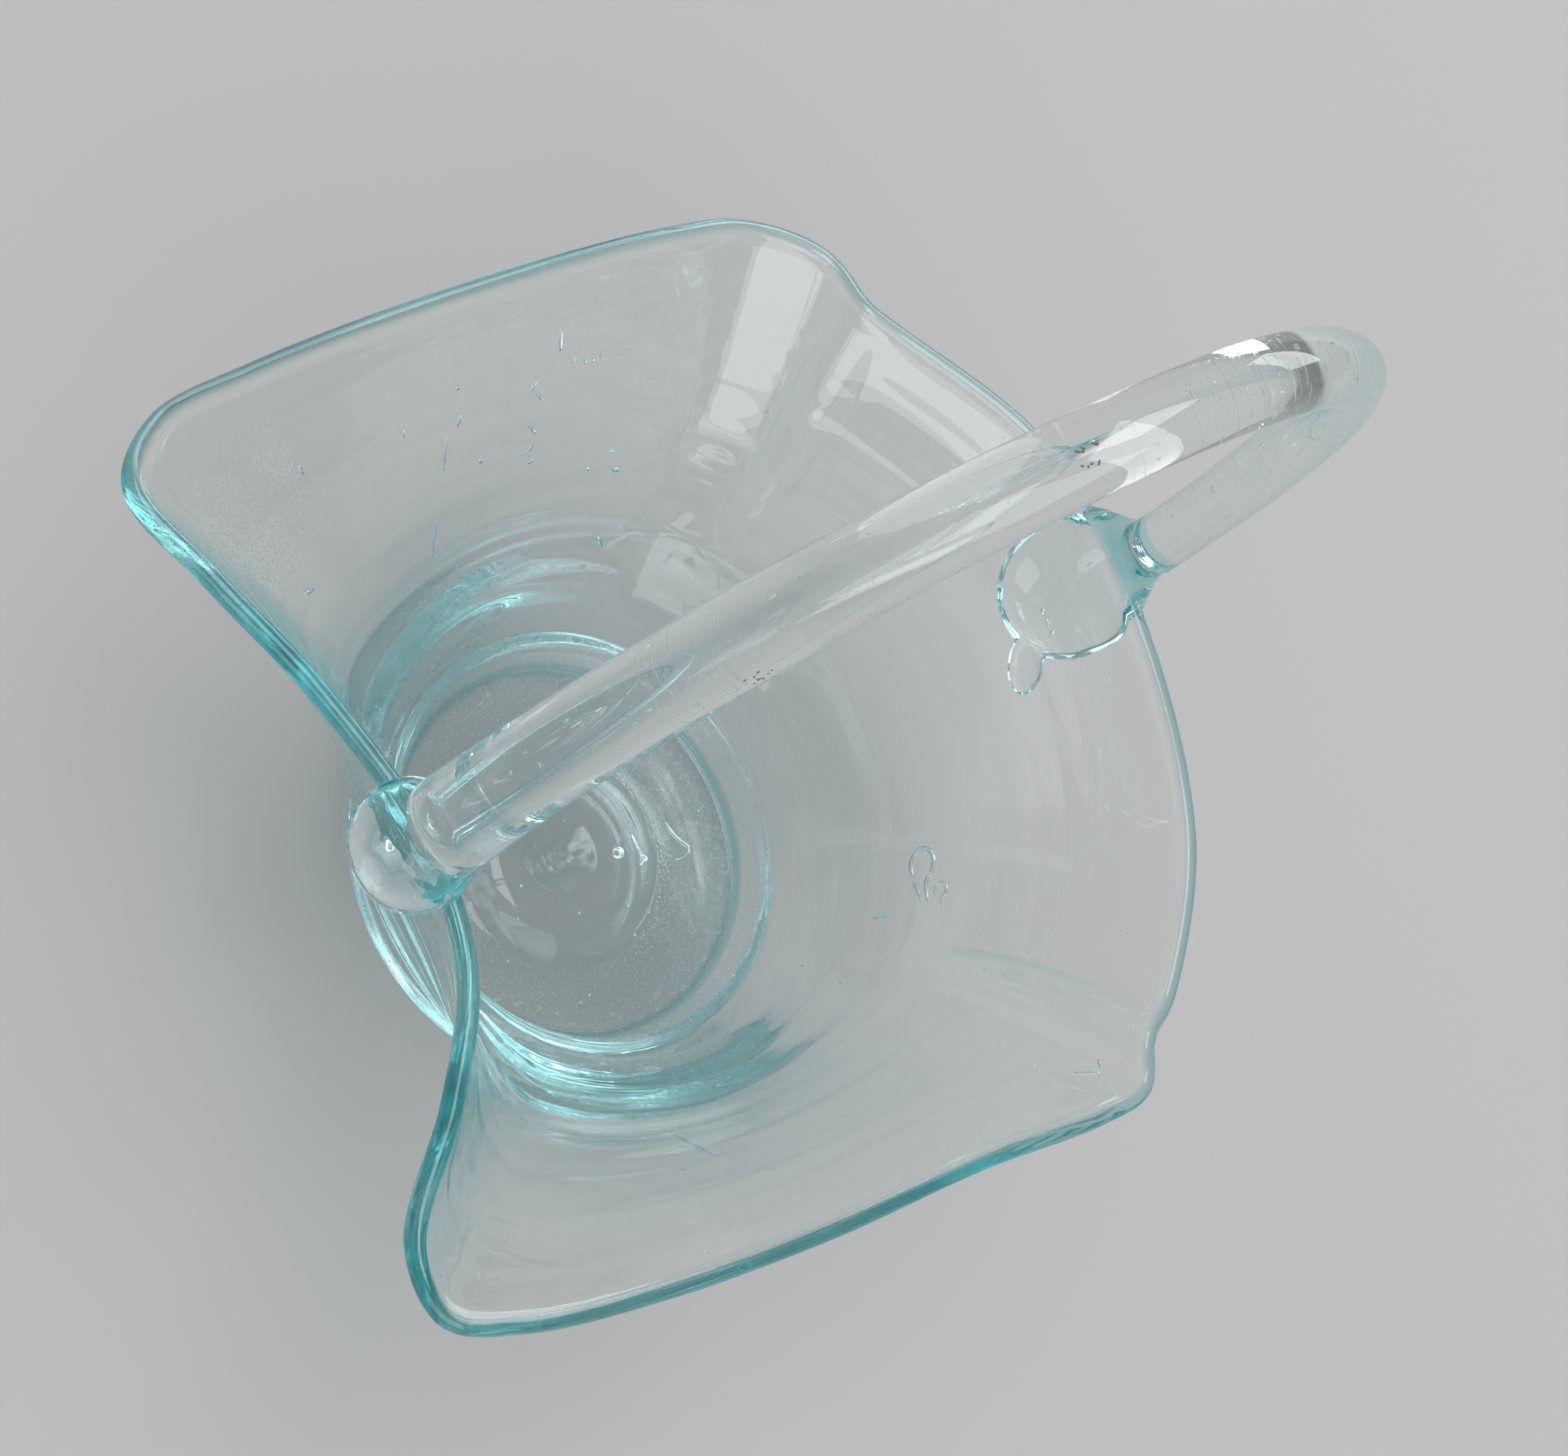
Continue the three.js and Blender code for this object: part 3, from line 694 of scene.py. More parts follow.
def scar_rows(b, s):
    """A shallow dome with a ragged face, its outline as shares of the radius and the thickness."""
    draw = random.Random(5)
    top = underside(b, s.radius) - FUSED_GAP
    low = top - s.thickness
    dome = [(0.0, 0.1), (0.12, 0.06), (0.22, 0.0), (0.4, 0.22), (0.6, 0.49), (0.8, 0.75), (1.0, 1.0)]
    outline = [(s.radius * reach, low + s.thickness * rise) for reach, rise in dome]
    outline.append((0.0, top))
    sides = 72
    turns = 2 * np.pi * np.arange(sides) / sides
    waves = [(n, draw.uniform(0, 2 * math.pi)) for n in (3, 5, 8, 13, 21)]
    ragged = sum(np.sin(n * turns + phase) / n**0.5 for n, phase in waves)
    rows = []
    for radius, height in outline:
        loose = 1 - (height - low) / s.thickness
        uneven = radius * (1 + 0.03 * ragged * loose)
        rows.append(circle(uneven, height + 0.05 * MM * ragged * loose * (radius > 0), turns))
    return np.array(rows)


def seed_shapes(b, h):
    """The frame, length and width of each bubble: larger ones listed, small ones scattered."""
    wall = Wall(b, WALL_STEPS, np.linspace(0, 1, 101))
    draw = random.Random(21)
    shapes = []

    def add(turn, share, slant, long, wide, depth=0.0):
        middle, along, up, out, thick = wall.spot(turn, share)
        way = math.cos(math.radians(slant)) * along + math.sin(math.radians(slant)) * up
        shapes.append((middle + out * depth * thick, way, out, long, wide))

    for turn, share, slant, long, wide in LARGE_SEEDS:
        add(turn, share, slant, long * MM, wide * MM, 0.12)
    for turn, share, size in PAD_SEEDS:
        add(turn, share, 0, size * MM, size * MM, 1.1)
    for _ in range(b.seeds):
        share = draw.uniform(0.05, 0.97)
        wide = draw.uniform(0.12, 0.42) * MM
        stretch = draw.choice((1, 1, 1.3, 2, 3.5))
        add(draw.random(), share, draw.gauss(95, 14), wide * stretch, wide, draw.uniform(-0.25, 0.25))
    points, ahead = even_arch(b, h, ARCH_STEPS)
    across, away = rod_frame(ahead)
    for _ in range(h.seeds):
        step = draw.randint(12, ARCH_STEPS - 12)
        turn = draw.uniform(0, 2 * math.pi)
        reach = rod_radius(h, step / ARCH_STEPS) * draw.uniform(0.2, 0.85)
        side = across[step] * math.cos(turn) + away[step] * math.sin(turn)
        wide = draw.uniform(0.12, 0.30) * MM
        shapes.append((points[step] + side * reach, ahead[step], side, wide * draw.uniform(1, 6), wide))
    level, upright = np.array([1.0, 0, 0]), np.array([0, 0, 1.0])
    for _ in range(b.foot_seeds):
        turn, reach = draw.uniform(0, 2 * math.pi), b.floor_radius * math.sqrt(draw.random()) * 0.95
        place = np.array([reach * math.cos(turn), reach * math.sin(turn), FOOT_SEED_HEIGHT])
        wide = draw.uniform(0.15, 0.5) * MM
        shapes.append((place, level, upright, wide, wide))
    x, y, long, wide = np.array(FOOT_BUBBLE) * MM
    shapes.append((np.array([x, y, FOOT_SEED_HEIGHT]), level, upright, long, wide))
    return shapes


def hook_paths(b):
    """Bubbles drawn out into hooks: arches with a tail, and a bent one in the foot."""
    wall = Wall(b, WALL_STEPS, np.linspace(0, 1, 101))
    paths = []
    for turn, share, radius, thick in SEED_HOOKS:
        middle, along, up, out, depth = wall.spot(turn, share)
        centre = middle - out * 0.15 * depth
        arch = [
            centre + radius * MM * (1.1 * math.cos(angle) * along + 0.9 * math.sin(angle) * up)
            for angle in np.radians(np.linspace(-140, 145, 12))
        ]
        arch.append(arch[-1] - radius * MM * (0.75 * along + 0.1 * up))
        arch.append(arch[-1] + radius * MM * (0.45 * up - 1.0 * along))
        paths.append((arch, thick / 2 * MM))
    height = b.floor_height - FOOT_HOOK_DEPTH
    bent = [np.array([x * MM, y * MM, height]) for x, y in FOOT_HOOK]
    return [*paths, (bent, FOOT_HOOK_RADIUS)]


# Building meshes


def only(piece):
    bpy.ops.object.select_all(action="DESELECT")
    piece.select_set(True)
    bpy.context.view_layer.objects.active = piece


def skin(name, rows):
    """A grid whose rows are laid round the piece, sewn at its seam and its two poles."""
    rows = np.asarray(rows)
    rows = np.concatenate([rows, rows[:, :1]], axis=1) + middle_of_foot()
    lines, columns = rows.shape[:2]
    bpy.ops.object.select_all(action="DESELECT")
    bpy.ops.mesh.primitive_grid_add(x_subdivisions=columns - 1, y_subdivisions=lines - 1, size=1)
    piece = bpy.context.active_object
    piece.name = name
    piece.data.name = name
    piece.data.vertices.foreach_set("co", rows.astype(np.float32).ravel())
    piece.data.update()
    bpy.ops.object.mode_set(mode="EDIT")
    bpy.ops.mesh.select_all(action="SELECT")
    bpy.ops.mesh.remove_doubles(threshold=0.001 * MM)
    bpy.ops.mesh.normals_make_consistent(inside=False)
    bpy.ops.object.mode_set(mode="OBJECT")
    bpy.ops.object.shade_smooth()
    return piece


def apply(piece, name, kind, **settings):
    only(piece)
    modifier = piece.modifiers.new(name, kind)
    for key, value in settings.items():
        setattr(modifier, key, value)
    bpy.ops.object.modifier_apply(modifier=modifier.name)


def combine(piece, other, operation):
    """Joins other to piece or cuts it out of piece, and throws other away."""
    apply(piece, "Fitted", "BOOLEAN", operation=operation, solver="MANIFOLD", object=other)
    bpy.data.objects.remove(other)


def carve(piece, cutter):
    combine(piece, cutter, "DIFFERENCE")
    only(piece)
    bpy.ops.object.mode_set(mode="EDIT")
    bpy.ops.mesh.select_all(action="SELECT")
    bpy.ops.mesh.remove_doubles(threshold=0.0005 * MM)
    bpy.ops.object.mode_set(mode="OBJECT")
    bpy.ops.object.shade_smooth_by_angle(angle=CREASE_ANGLE)


def trim_beyond(piece, place, way):
    """Cuts piece off square at place and closes the cut."""
    only(piece)
    bpy.ops.object.mode_set(mode="EDIT")
    bpy.ops.mesh.select_all(action="SELECT")
    bpy.ops.mesh.bisect(
        plane_co=place + middle_of_foot(), plane_no=way, use_fill=True, clear_outer=True
    )
    bpy.ops.object.mode_set(mode="OBJECT")


def bowl_cutter(b):
    return skin("bowl_cutter", bowl_rows(b, FUSED_GAP))


def dress(piece, material, slot, *nodes):
    piece.data.materials.clear()
    piece.data.materials.append(material)
    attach(piece, "root")
    if nodes:
        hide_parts(*nodes)
    piece.data.attributes.new("fused", "FLOAT", "FACE")


def mark_lip(bowl, b):
    """Notes the bowl's corners on the very edge of its lip, beyond the middle of the bead, as the mask
    of the painted lip tint.
    """
    edge = Wall(b, 4 * b.steps, [1.0])
    line = edge.middle[0] + middle_of_foot()
    tree = KDTree(len(line))
    for number, point in enumerate(line):
        tree.insert(Vector(point), number)
    tree.balance()
    corners = np.array([list(corner.co) for corner in bowl.data.vertices])
    nearest = [tree.find(corner)[1] for corner in corners]
    beyond = ((corners - line[nearest]) * edge.up[0][nearest]).sum(1)
    full = 0.7 * b.lip_thickness / 2
    values = smooth(beyond / full).astype(np.float32)
    bowl.data.attributes.new("lip", "FLOAT", "POINT").data.foreach_set("value", values)


def coordinates(items, name):
    """One row of three numbers for each of the mesh's items."""
    values = np.empty(len(items) * 3, np.float32)
    items.foreach_get(name, values)
    return values.reshape(-1, 3)


def close_to(places, neighbour):
    """Which of the places are fused to neighbour."""
    tree = BVHTree.FromObject(neighbour, bpy.context.evaluated_depsgraph_get())
    corners = np.array([list(corner) for corner in neighbour.bound_box])
    low, high = corners.min(0) - FUSED_REACH, corners.max(0) + FUSED_REACH
    near = np.zeros(len(places), bool)
    for index in np.nonzero(((places > low) & (places < high)).all(1))[0]:
        near[index] = tree.find_nearest(Vector(places[index]), FUSED_REACH)[0] is not None
    return near


def cut_border_small(piece, neighbour):
    """Divides the faces on the border of a fused place, so that the border runs smoothly."""
    touching = close_to(coordinates(piece.data.vertices, "co"), neighbour)
    only(piece)
    bpy.ops.object.mode_set(mode="EDIT")
    bpy.ops.mesh.select_mode(type="FACE")
    bpy.ops.mesh.select_all(action="DESELECT")
    bpy.ops.object.mode_set(mode="OBJECT")
    for face in piece.data.polygons:
        touched = touching[list(face.vertices)]
        face.select = bool(touched.any() and not touched.all())
    bpy.ops.object.mode_set(mode="EDIT")
    bpy.ops.mesh.subdivide(number_cuts=3)
    bpy.ops.mesh.select_mode(type="VERT")
    bpy.ops.object.mode_set(mode="OBJECT")


def mark_fused(one, other):
    """Notes the faces where two pieces are fused, so that no light turns back between them."""
    for piece, neighbour in ((one, other), (other, one)):
        attribute = piece.data.attributes["fused"]
        values = np.empty(len(piece.data.polygons), np.float32)
        attribute.data.foreach_get("value", values)
        values[close_to(coordinates(piece.data.polygons, "center"), neighbour)] = 1.0
        attribute.data.foreach_set("value", values)


def bubbles(name, shapes):
    """One piece of many small closed bubbles, each drawn out along its own way."""
    made = []
    for place, way, out, long, wide in shapes:
        bpy.ops.object.select_all(action="DESELECT")
        bpy.ops.mesh.primitive_ico_sphere_add(subdivisions=2, radius=0.5)
        bubble = bpy.context.active_object
        side = np.cross(out, way)
        axes = way * long, side * wide, np.cross(way, side) * wide
        bubble.data.transform(Matrix([list(axis) for axis in axes]).transposed().to_4x4())
        bubble.data.transform(Matrix.Translation(Vector(place + middle_of_foot())))
        made.append(bubble)
    return joined(name, made)


def joined(name, pieces):
    bpy.ops.object.select_all(action="DESELECT")
    for piece in pieces:
        piece.select_set(True)
    bpy.context.view_layer.objects.active = pieces[0]
    if len(pieces) > 1:
        bpy.ops.object.join()
    piece = bpy.context.active_object
    bpy.ops.object.mode_set(mode="EDIT")
    bpy.ops.mesh.select_all(action="SELECT")
    bpy.ops.mesh.normals_make_consistent(inside=False)
    bpy.ops.object.mode_set(mode="OBJECT")
    bpy.ops.object.shade_smooth()
    piece.name = name
    piece.data.name = name
    return piece


def thread(points, radius):
    """A thin closed tube along points, tapered at both ends."""
    bpy.ops.object.select_all(action="DESELECT")
    bpy.ops.curve.primitive_nurbs_path_add(location=(0, 0, 0))
    path = bpy.context.active_object
    curve = path.data
    curve.splines.clear()
    spline = curve.splines.new("NURBS")
    spline.points.add(len(points) - 1)
    for number, (place, point) in enumerate(zip(points, spline.points)):
        point.co = (*(place + middle_of_foot()), 1)
        point.radius = 0.35 if number in (0, len(points) - 1) else 1.0
    spline.order_u = 3
    spline.use_endpoint_u = True
    curve.bevel_depth = radius
    curve.bevel_resolution = 2
    curve.resolution_u = 4
    curve.use_fill_caps = True
    bpy.ops.object.convert(target="MESH")
    made = bpy.context.active_object
    bpy.ops.object.mode_set(mode="EDIT")
    bpy.ops.mesh.select_all(action="SELECT")
    bpy.ops.mesh.remove_doubles(threshold=0.001 * MM)
    bpy.ops.object.mode_set(mode="OBJECT")
    return made


# Glass


class Nodes:
    """Short ways to lay out one material's nodes."""

    def __init__(self, material):
        self.tree = material.node_tree
        self.tree.nodes.clear()

    def add(self, kind, values=(), **settings):
        made = self.tree.nodes.new(kind)
        for key, value in settings.items():
            setattr(made, key, value)
        for socket, value in dict(values).items():
            if isinstance(value, bpy.types.NodeSocket):
                self.tree.links.new(value, made.inputs[socket])
            else:
                made.inputs[socket].default_value = value
        return made

    def noise(self, place, scale, detail=2.0):
        sockets = {"Vector": place, "Scale": scale, "Detail": detail}
        return self.add("ShaderNodeTexNoise", sockets).outputs["Fac"]

    def between(self, value, low, high, start=0.0, end=1.0):
        sockets = {"Value": value, "From Min": low, "From Max": high, "To Min": start, "To Max": end}
        return self.add("ShaderNodeMapRange", sockets).outputs["Result"]

    def math(self, operation, one, two):
        return self.add("ShaderNodeMath", {0: one, 1: two}, operation=operation).outputs[0]

    def times(self, one, two):
        return self.math("MULTIPLY", one, two)

    def most(self, one, two):
        return self.math("MAXIMUM", one, two)

    def band(self, value, low, full, fading, high):
        """1 from full to fading, and down to 0 at low and high."""
        return self.times(self.between(value, low, full), self.between(value, high, fading))

    def attribute(self, name):
        return self.add("ShaderNodeAttribute", attribute_name=name).outputs["Fac"]

    def axis(self, place, name):
        return self.add("ShaderNodeSeparateXYZ", {0: place}).outputs[name]

    def mapped(self, place, **values):
        return self.add("ShaderNodeMapping", {"Vector": place, **values}).outputs["Vector"]

    def slant(self):
        """0 where the surface faces the eye, and 1 where it is seen edge-on."""
        return self.add("ShaderNodeLayerWeight", {"Blend": 0.5}).outputs["Facing"]

    def ramp(self, value, start, end, start_position=0.0):
        made = self.add("ShaderNodeValToRGB", {0: value})
        made.color_ramp.elements[0].position = start_position
        made.color_ramp.elements[0].color = (*start, 1)
        made.color_ramp.elements[1].color = (*end, 1)
        return made.outputs[0]

    def bump(self, height, strength, distance, normal=None):
        sockets = {"Height": height, "Strength": strength, "Distance": distance}
        if normal is not None:
            sockets["Normal"] = normal
        return self.add("ShaderNodeBump", sockets).outputs["Normal"]


def glass(name, finish, edge, edge_start=0.45, depth=1.0):
    """Clear glass that turns aqua with depth. Returns its nodes, shader and object coordinates.

    edge is a painted edge tint that stands in for light piped through the glass: the colour
    turns towards it where the surface is seen edge-on, from the slant edge_start on, and
    depth multiplies the tint."""
    material, nodes, surface = clear_material(name, GLASS_IOR)
    absorbing = {"Color": (*finish.tint, 1), "Density": finish.density * depth}
    volume = nodes.add("ShaderNodeVolumeAbsorption", absorbing).outputs["Volume"]
    nodes.tree.links.new(volume, nodes.tree.nodes["Material Output"].inputs["Volume"])
    fused = nodes.attribute("fused")
    nodes.tree.links.new(nodes.between(fused, 0.0, 1.0, GLASS_IOR, 1.0), surface.inputs["IOR"])
    # Painted edge tint: edge-on parts of the surface are coloured towards edge, standing in for light
    # piped through the glass, except where the glass is fused
    painted_edge_amount = nodes.times(nodes.slant(), nodes.between(fused, 0.0, 1.0, 1.0, 0.0))
    rounding = nodes.ramp(painted_edge_amount, (0.99, 1, 1), edge, edge_start)
    nodes.tree.links.new(rounding, surface.inputs["Base Color"])
    return material, nodes, surface, nodes.add("ShaderNodeTexCoord").outputs["Object"]


def clear_material(name, index):
    """A glass surface that dims lamps behind it as clear glass does, more so where it slants."""
    material = bpy.data.materials.new(name)
    material.use_nodes = True
    nodes = Nodes(material)
    surface = nodes.add("ShaderNodeBsdfPrincipled", {"Transmission Weight": 1.0, "Roughness": 0.0})
    surface.inputs["IOR"].default_value = index
    shade = nodes.ramp(nodes.slant(), (0.96, 0.975, 0.975), (0.55, 0.64, 0.64), 0.35)
    clear = nodes.add("ShaderNodeBsdfTransparent", {"Color": shade})
    lamp = nodes.add("ShaderNodeLightPath").outputs["Is Shadow Ray"]
    either = nodes.add("ShaderNodeMixShader", {0: lamp, 1: surface.outputs[0], 2: clear.outputs[0]})
    nodes.add("ShaderNodeOutputMaterial", {"Surface": either.outputs[0]}, name="Material Output")
    return material, nodes, surface


def paint_piped_tint(nodes, surface, amount, shade):
    """Multiplies the surface's colour by shade, a painted tint that stands in for light piped through
    the glass, where amount is 1 and the glass is not fused.
    """
    base = surface.inputs["Base Color"]
    open_amount = nodes.times(amount, nodes.between(nodes.attribute("fused"), 0.0, 1.0, 1.0, 0.0))
    sockets = {0: open_amount, 6: base.links[0].from_socket, 7: (*shade, 1)}
    mixed = nodes.add("ShaderNodeMix", sockets, data_type="RGBA", blend_type="MULTIPLY")
    nodes.tree.links.new(mixed.outputs[2], base)


def connect(nodes, surface, roughness, normal):
    nodes.tree.links.new(roughness, surface.inputs["Roughness"])
    nodes.tree.links.new(normal, surface.inputs["Normal"])


def dust(nodes, place, amount):
    """Specks of dust and fingermarks, in soft patches."""
    specks = nodes.between(nodes.noise(place, 1400, 2), 0.60, 0.68)
    patches = nodes.between(nodes.noise(place, 38, 3), 0.42, 0.62)
    return nodes.times(nodes.times(specks, patches), amount)


def sandy_lobe(nodes, place):
    """Fine sand on the left lobe on the far side, 1 in its grains."""
    lobe = Vector((-62 * MM, 57 * MM, 65 * MM)) + Vector(middle_of_foot())
    apart = nodes.add("ShaderNodeVectorMath", {0: place, 1: lobe}, operation="DISTANCE")
    near = nodes.between(apart.outputs["Value"], 26 * MM, 8 * MM)
    return nodes.times(near, nodes.between(nodes.noise(place, 1700, 2), 0.52, 0.62))


def bowl_glass(finish):
    """Clear glass with dust, a sandy lobe, lime in the floor's corner, a worn resting ring, and a
    painted aqua tint on the lip and on a ring at the floor's inner corner that stands in for light piped
    through the glass.
    """
    material, nodes, surface, place = glass("bowl glass", finish, finish.edge)
    height = nodes.axis(place, "Z")
    flat = nodes.mapped(nodes.mapped(place, Location=-Vector(middle_of_foot())), Scale=(1, 1, 0))
    radius = nodes.add("ShaderNodeVectorMath", {0: flat}, operation="LENGTH").outputs["Value"]
    worn = nodes.between(height, 0.4 * MM, 0.1 * MM)
    grit = nodes.times(worn, nodes.between(nodes.noise(place, 2400, 3), 0.55, 0.66))
    corner = nodes.band(radius, 26 * MM, 29 * MM, 33 * MM, 37 * MM)
    corner = nodes.times(corner, nodes.between(height, 6.0 * MM, 6.6 * MM))
    lime = nodes.times(corner, nodes.between(nodes.noise(place, 900, 2), 0.60, 0.66))
    rough = nodes.most(dust(nodes, place, 0.25), nodes.times(grit, 0.35))
    rough = nodes.most(rough, nodes.times(sandy_lobe(nodes, place), 0.42))
    rough = nodes.most(rough, nodes.times(lime, 0.5))
    pitted = nodes.bump(grit, 0.5, 0.05 * MM)
    connect(nodes, surface, rough, nodes.bump(nodes.noise(place, 55, 1), 0.12, 0.4 * MM, pitted))
    # Painted tint: the lip and a ring at the floor's inner corner take the lip colour, standing in for
    # light piped through the glass there
    ring = nodes.band(radius, 30.6 * MM, 31.6 * MM, 33.2 * MM, 33.8 * MM)
    level = nodes.band(height, 6.4 * MM, 6.8 * MM, 8.4 * MM, 9.4 * MM)
    edges = nodes.most(nodes.attribute("lip"), nodes.times(ring, level))
    paint_piped_tint(nodes, surface, edges, finish.lip)
    return material


def rod_glass(finish):
    """Drawn glass with dust, hairline scratches across the rod, and a painted aqua tint on the right leg
    that stands in for light piped along it.
    """
    material, nodes, surface, place = glass("rod glass", finish, finish.rod_painted_edge_tint, 0.66, 0.35)
    around = nodes.add("ShaderNodeUVMap").outputs["UV"]
    hairs = nodes.between(nodes.noise(nodes.mapped(around, Scale=(17, 900, 1)), 1, 1), 0.66, 0.72)
    patches = nodes.between(nodes.noise(place, 45, 2), 0.48, 0.58)
    scratches = nodes.times(hairs, patches)
    rough = nodes.most(dust(nodes, place, 0.30), nodes.times(scratches, 0.55))
    cut = nodes.bump(scratches, 0.9, -0.08 * MM)
    drawn = nodes.noise(nodes.mapped(around, Scale=(9, 2.2, 1)), 1, 1)
    connect(nodes, surface, rough, nodes.bump(drawn, 0.20, 0.4 * MM, cut))
    # Painted tint: the right leg is shaded aqua, standing in for light piped along it
    leg = nodes.between(nodes.axis(place, "X"), 97 * MM, 104 * MM)
    paint_piped_tint(nodes, surface, leg, finish.painted_leg_tint)
    return material


def pressed_glass(name, finish, depth, lumps):
    """Glass that was pressed on and pinched while soft, so a little lumpy."""
    material, nodes, surface, place = glass(name, finish, finish.edge, depth=depth)
    uneven = nodes.bump(nodes.noise(place, 120, 2), 0.8, lumps)
    connect(nodes, surface, dust(nodes, place, 0.25), uneven)
    return material, nodes, surface, place


def folded_glass(finish):
    return pressed_glass("folded end glass", finish, 0.6, 0.7 * MM)[0]


def root_glass(finish):
    """Nearly clear in the pad, with a painted aqua tint on the fan above the lip that stands in for
    light piped through it.
    """
    material, nodes, surface, place = pressed_glass("root glass", finish, 2.2, 0.2 * MM)
    # Painted tint: the fan above the lip is shaded aqua in streaks, standing in for light piped through
    # it
    streaks = nodes.between(nodes.noise(place, 160, 2), 0.3, 0.7, 0.6, 1.0)
    above = nodes.times(nodes.between(nodes.axis(place, "Z"), 81 * MM, 88 * MM), streaks)
    paint_piped_tint(nodes, surface, above, finish.fan)
    return material


def broken_glass(finish):
    material, nodes, surface, place = glass("scar glass", finish, finish.edge)
    rough = nodes.between(nodes.noise(place, 600, 4), 0.40, 0.65, 0.0, 0.22)
    connect(nodes, surface, rough, nodes.bump(nodes.noise(place, 420, 4), 0.3, 0.2 * MM))
    return material


def scale_spot():
    material = bpy.data.materials.new("brown scale")
    material.use_nodes = True
    nodes = Nodes(material)
    place = nodes.add("ShaderNodeTexCoord").outputs["Object"]
    browns = nodes.ramp(nodes.noise(place, 2600, 3), (0.10, 0.055, 0.02), (0.48, 0.33, 0.12))
    surface = nodes.add("ShaderNodeBsdfPrincipled", {"Base Color": browns, "Roughness": 0.55})
    nodes.add("ShaderNodeOutputMaterial", {"Surface": surface.outputs[0]})
    return material


# Stage


def direction(azimuth, elevation):
    turn, rise = math.radians(azimuth), math.radians(elevation)
    level = math.cos(rise)
    return Vector((math.cos(turn) * level, math.sin(turn) * level, math.sin(rise)))


def add_floor(finish):
    bpy.ops.object.select_all(action="DESELECT")
    bpy.ops.mesh.primitive_circle_add(vertices=96, radius=FLOOR_RADIUS, fill_type="NGON")
    floor = bpy.context.active_object
    floor.name = "studio_floor"
    bpy.ops.transform.translate(value=(0, 0, -FLOOR_DROP))
    bpy.ops.object.transform_apply(location=True)
    material = bpy.data.materials.new("studio floor")
    material.use_nodes = True
    surface = material.node_tree.nodes["Principled BSDF"]
    surface.inputs["Base Color"].default_value = (*finish.floor, 1)
    surface.inputs["Roughness"].default_value = 0.7
    floor.data.materials.append(material)


def add_sky(scene):
    """Grey surroundings, a little brighter overhead."""
    world = bpy.data.worlds.new("studio")
    scene.world = world
    world.use_nodes = True
    tree = world.node_tree
    place = tree.nodes.new("ShaderNodeTexCoord")
    height = tree.nodes.new("ShaderNodeSeparateXYZ")
    ramp = tree.nodes.new("ShaderNodeValToRGB")
    for element, (position, grey) in zip(ramp.color_ramp.elements, SKY):
        element.position = position
        element.color = (grey, grey, grey, 1)
    tree.links.new(place.outputs["Generated"], height.inputs["Vector"])
    tree.links.new(height.outputs["Z"], ramp.inputs["Fac"])
    tree.links.new(ramp.outputs["Color"], tree.nodes["Background"].inputs["Color"])


def add_lamps(scene):
    centre = Vector(middle_of_foot()) + Vector((0, 0, LAMP_TARGET))
    for name, azimuth, elevation, distance, width, depth, power in LAMPS:
        lamp = bpy.data.lights.new(name, "AREA")
        lamp.shape = "RECTANGLE"
        lamp.size = width
        lamp.size_y = depth
        lamp.energy = power
        holder = bpy.data.objects.new(name, lamp)
        scene.collection.objects.link(holder)
        way = direction(azimuth, elevation)
        holder.location = centre + way * distance
        holder.rotation_euler = way.to_track_quat("Z", "Y").to_euler()


def add_camera(scene):
    """The photograph's view, rolled so that the handle runs across the frame."""
    camera = bpy.data.cameras.new("photograph")
    holder = bpy.data.objects.new("photograph", camera)
    scene.collection.objects.link(holder)
    scene.camera = holder
    azimuth, elevation, roll = CAMERA_ANGLES
    back = direction(azimuth, elevation)
    level = (-back).cross(Vector((0, 0, 1))).normalized()
    upright = level.cross(-back)
    tilt = math.radians(roll)
    right = math.cos(tilt) * level + math.sin(tilt) * upright
    up = -math.sin(tilt) * level + math.cos(tilt) * upright
    placed = Matrix((right, up, back)).transposed().to_4x4()
    target = Vector(CAMERA_TARGET) * MM + Vector(middle_of_foot())
    placed.translation = target + back * CAMERA_DISTANCE
    holder.matrix_world = placed
    camera.sensor_width = SENSOR_WIDTH
    camera.lens = FOCAL_LENGTH * SENSOR_WIDTH / PHOTO_WIDTH
    camera.clip_start = 0.01


def allow_long_light_paths(scene):
    scene.cycles.max_bounces = LIGHT_PATHS
    scene.cycles.transmission_bounces = LIGHT_PATHS
    scene.cycles.glossy_bounces = LIGHT_PATHS
    scene.cycles.transparent_max_bounces = 32
    scene.cycles.caustics_reflective = False
    scene.cycles.caustics_refractive = False


# Operators


class AddStage(bpy.types.Operator):
    """Pale floor, soft lamps and a camera at the photograph's angle"""

    bl_idname = "glass_basket.add_stage"
    bl_label = "Stage"

    def execute(self, context):
        scene = context.scene
        scene.view_settings.view_transform = "Standard"
        allow_long_light_paths(scene)
        add_floor(scene.basket_finish)
        add_sky(scene)
        add_lamps(scene)
        add_camera(scene)
        return {"FINISHED"}


class AddBowl(bpy.types.Operator):
    """The free-blown bowl, its foot, wall and fire-rounded lip in one gather"""

    bl_idname = "glass_basket.add_bowl"
    bl_label = "Bowl"

    def execute(self, context):
        b = context.scene.basket_bowl
        bowl = skin("blown_bowl", bowl_rows(b))
        dress(bowl, bowl_glass(context.scene.basket_finish), "bowl_glass", "bowl")
        mark_lip(bowl, b)
        return {"FINISHED"}


class AddFoldedEnd(bpy.types.Operator):
    """The soft lump where the handle is folded over the left lip"""

    bl_idname = "glass_basket.add_folded_end"
    bl_label = "Folded end"

    def execute(self, context):
        b, h = context.scene.basket_bowl, context.scene.basket_handle
        knob = skin("folded_end", knob_rows(b, h))
        carve(knob, bowl_cutter(b))
        dress(knob, folded_glass(context.scene.basket_finish), "rod_glass", "handle_folded_end")
        return {"FINISHED"}


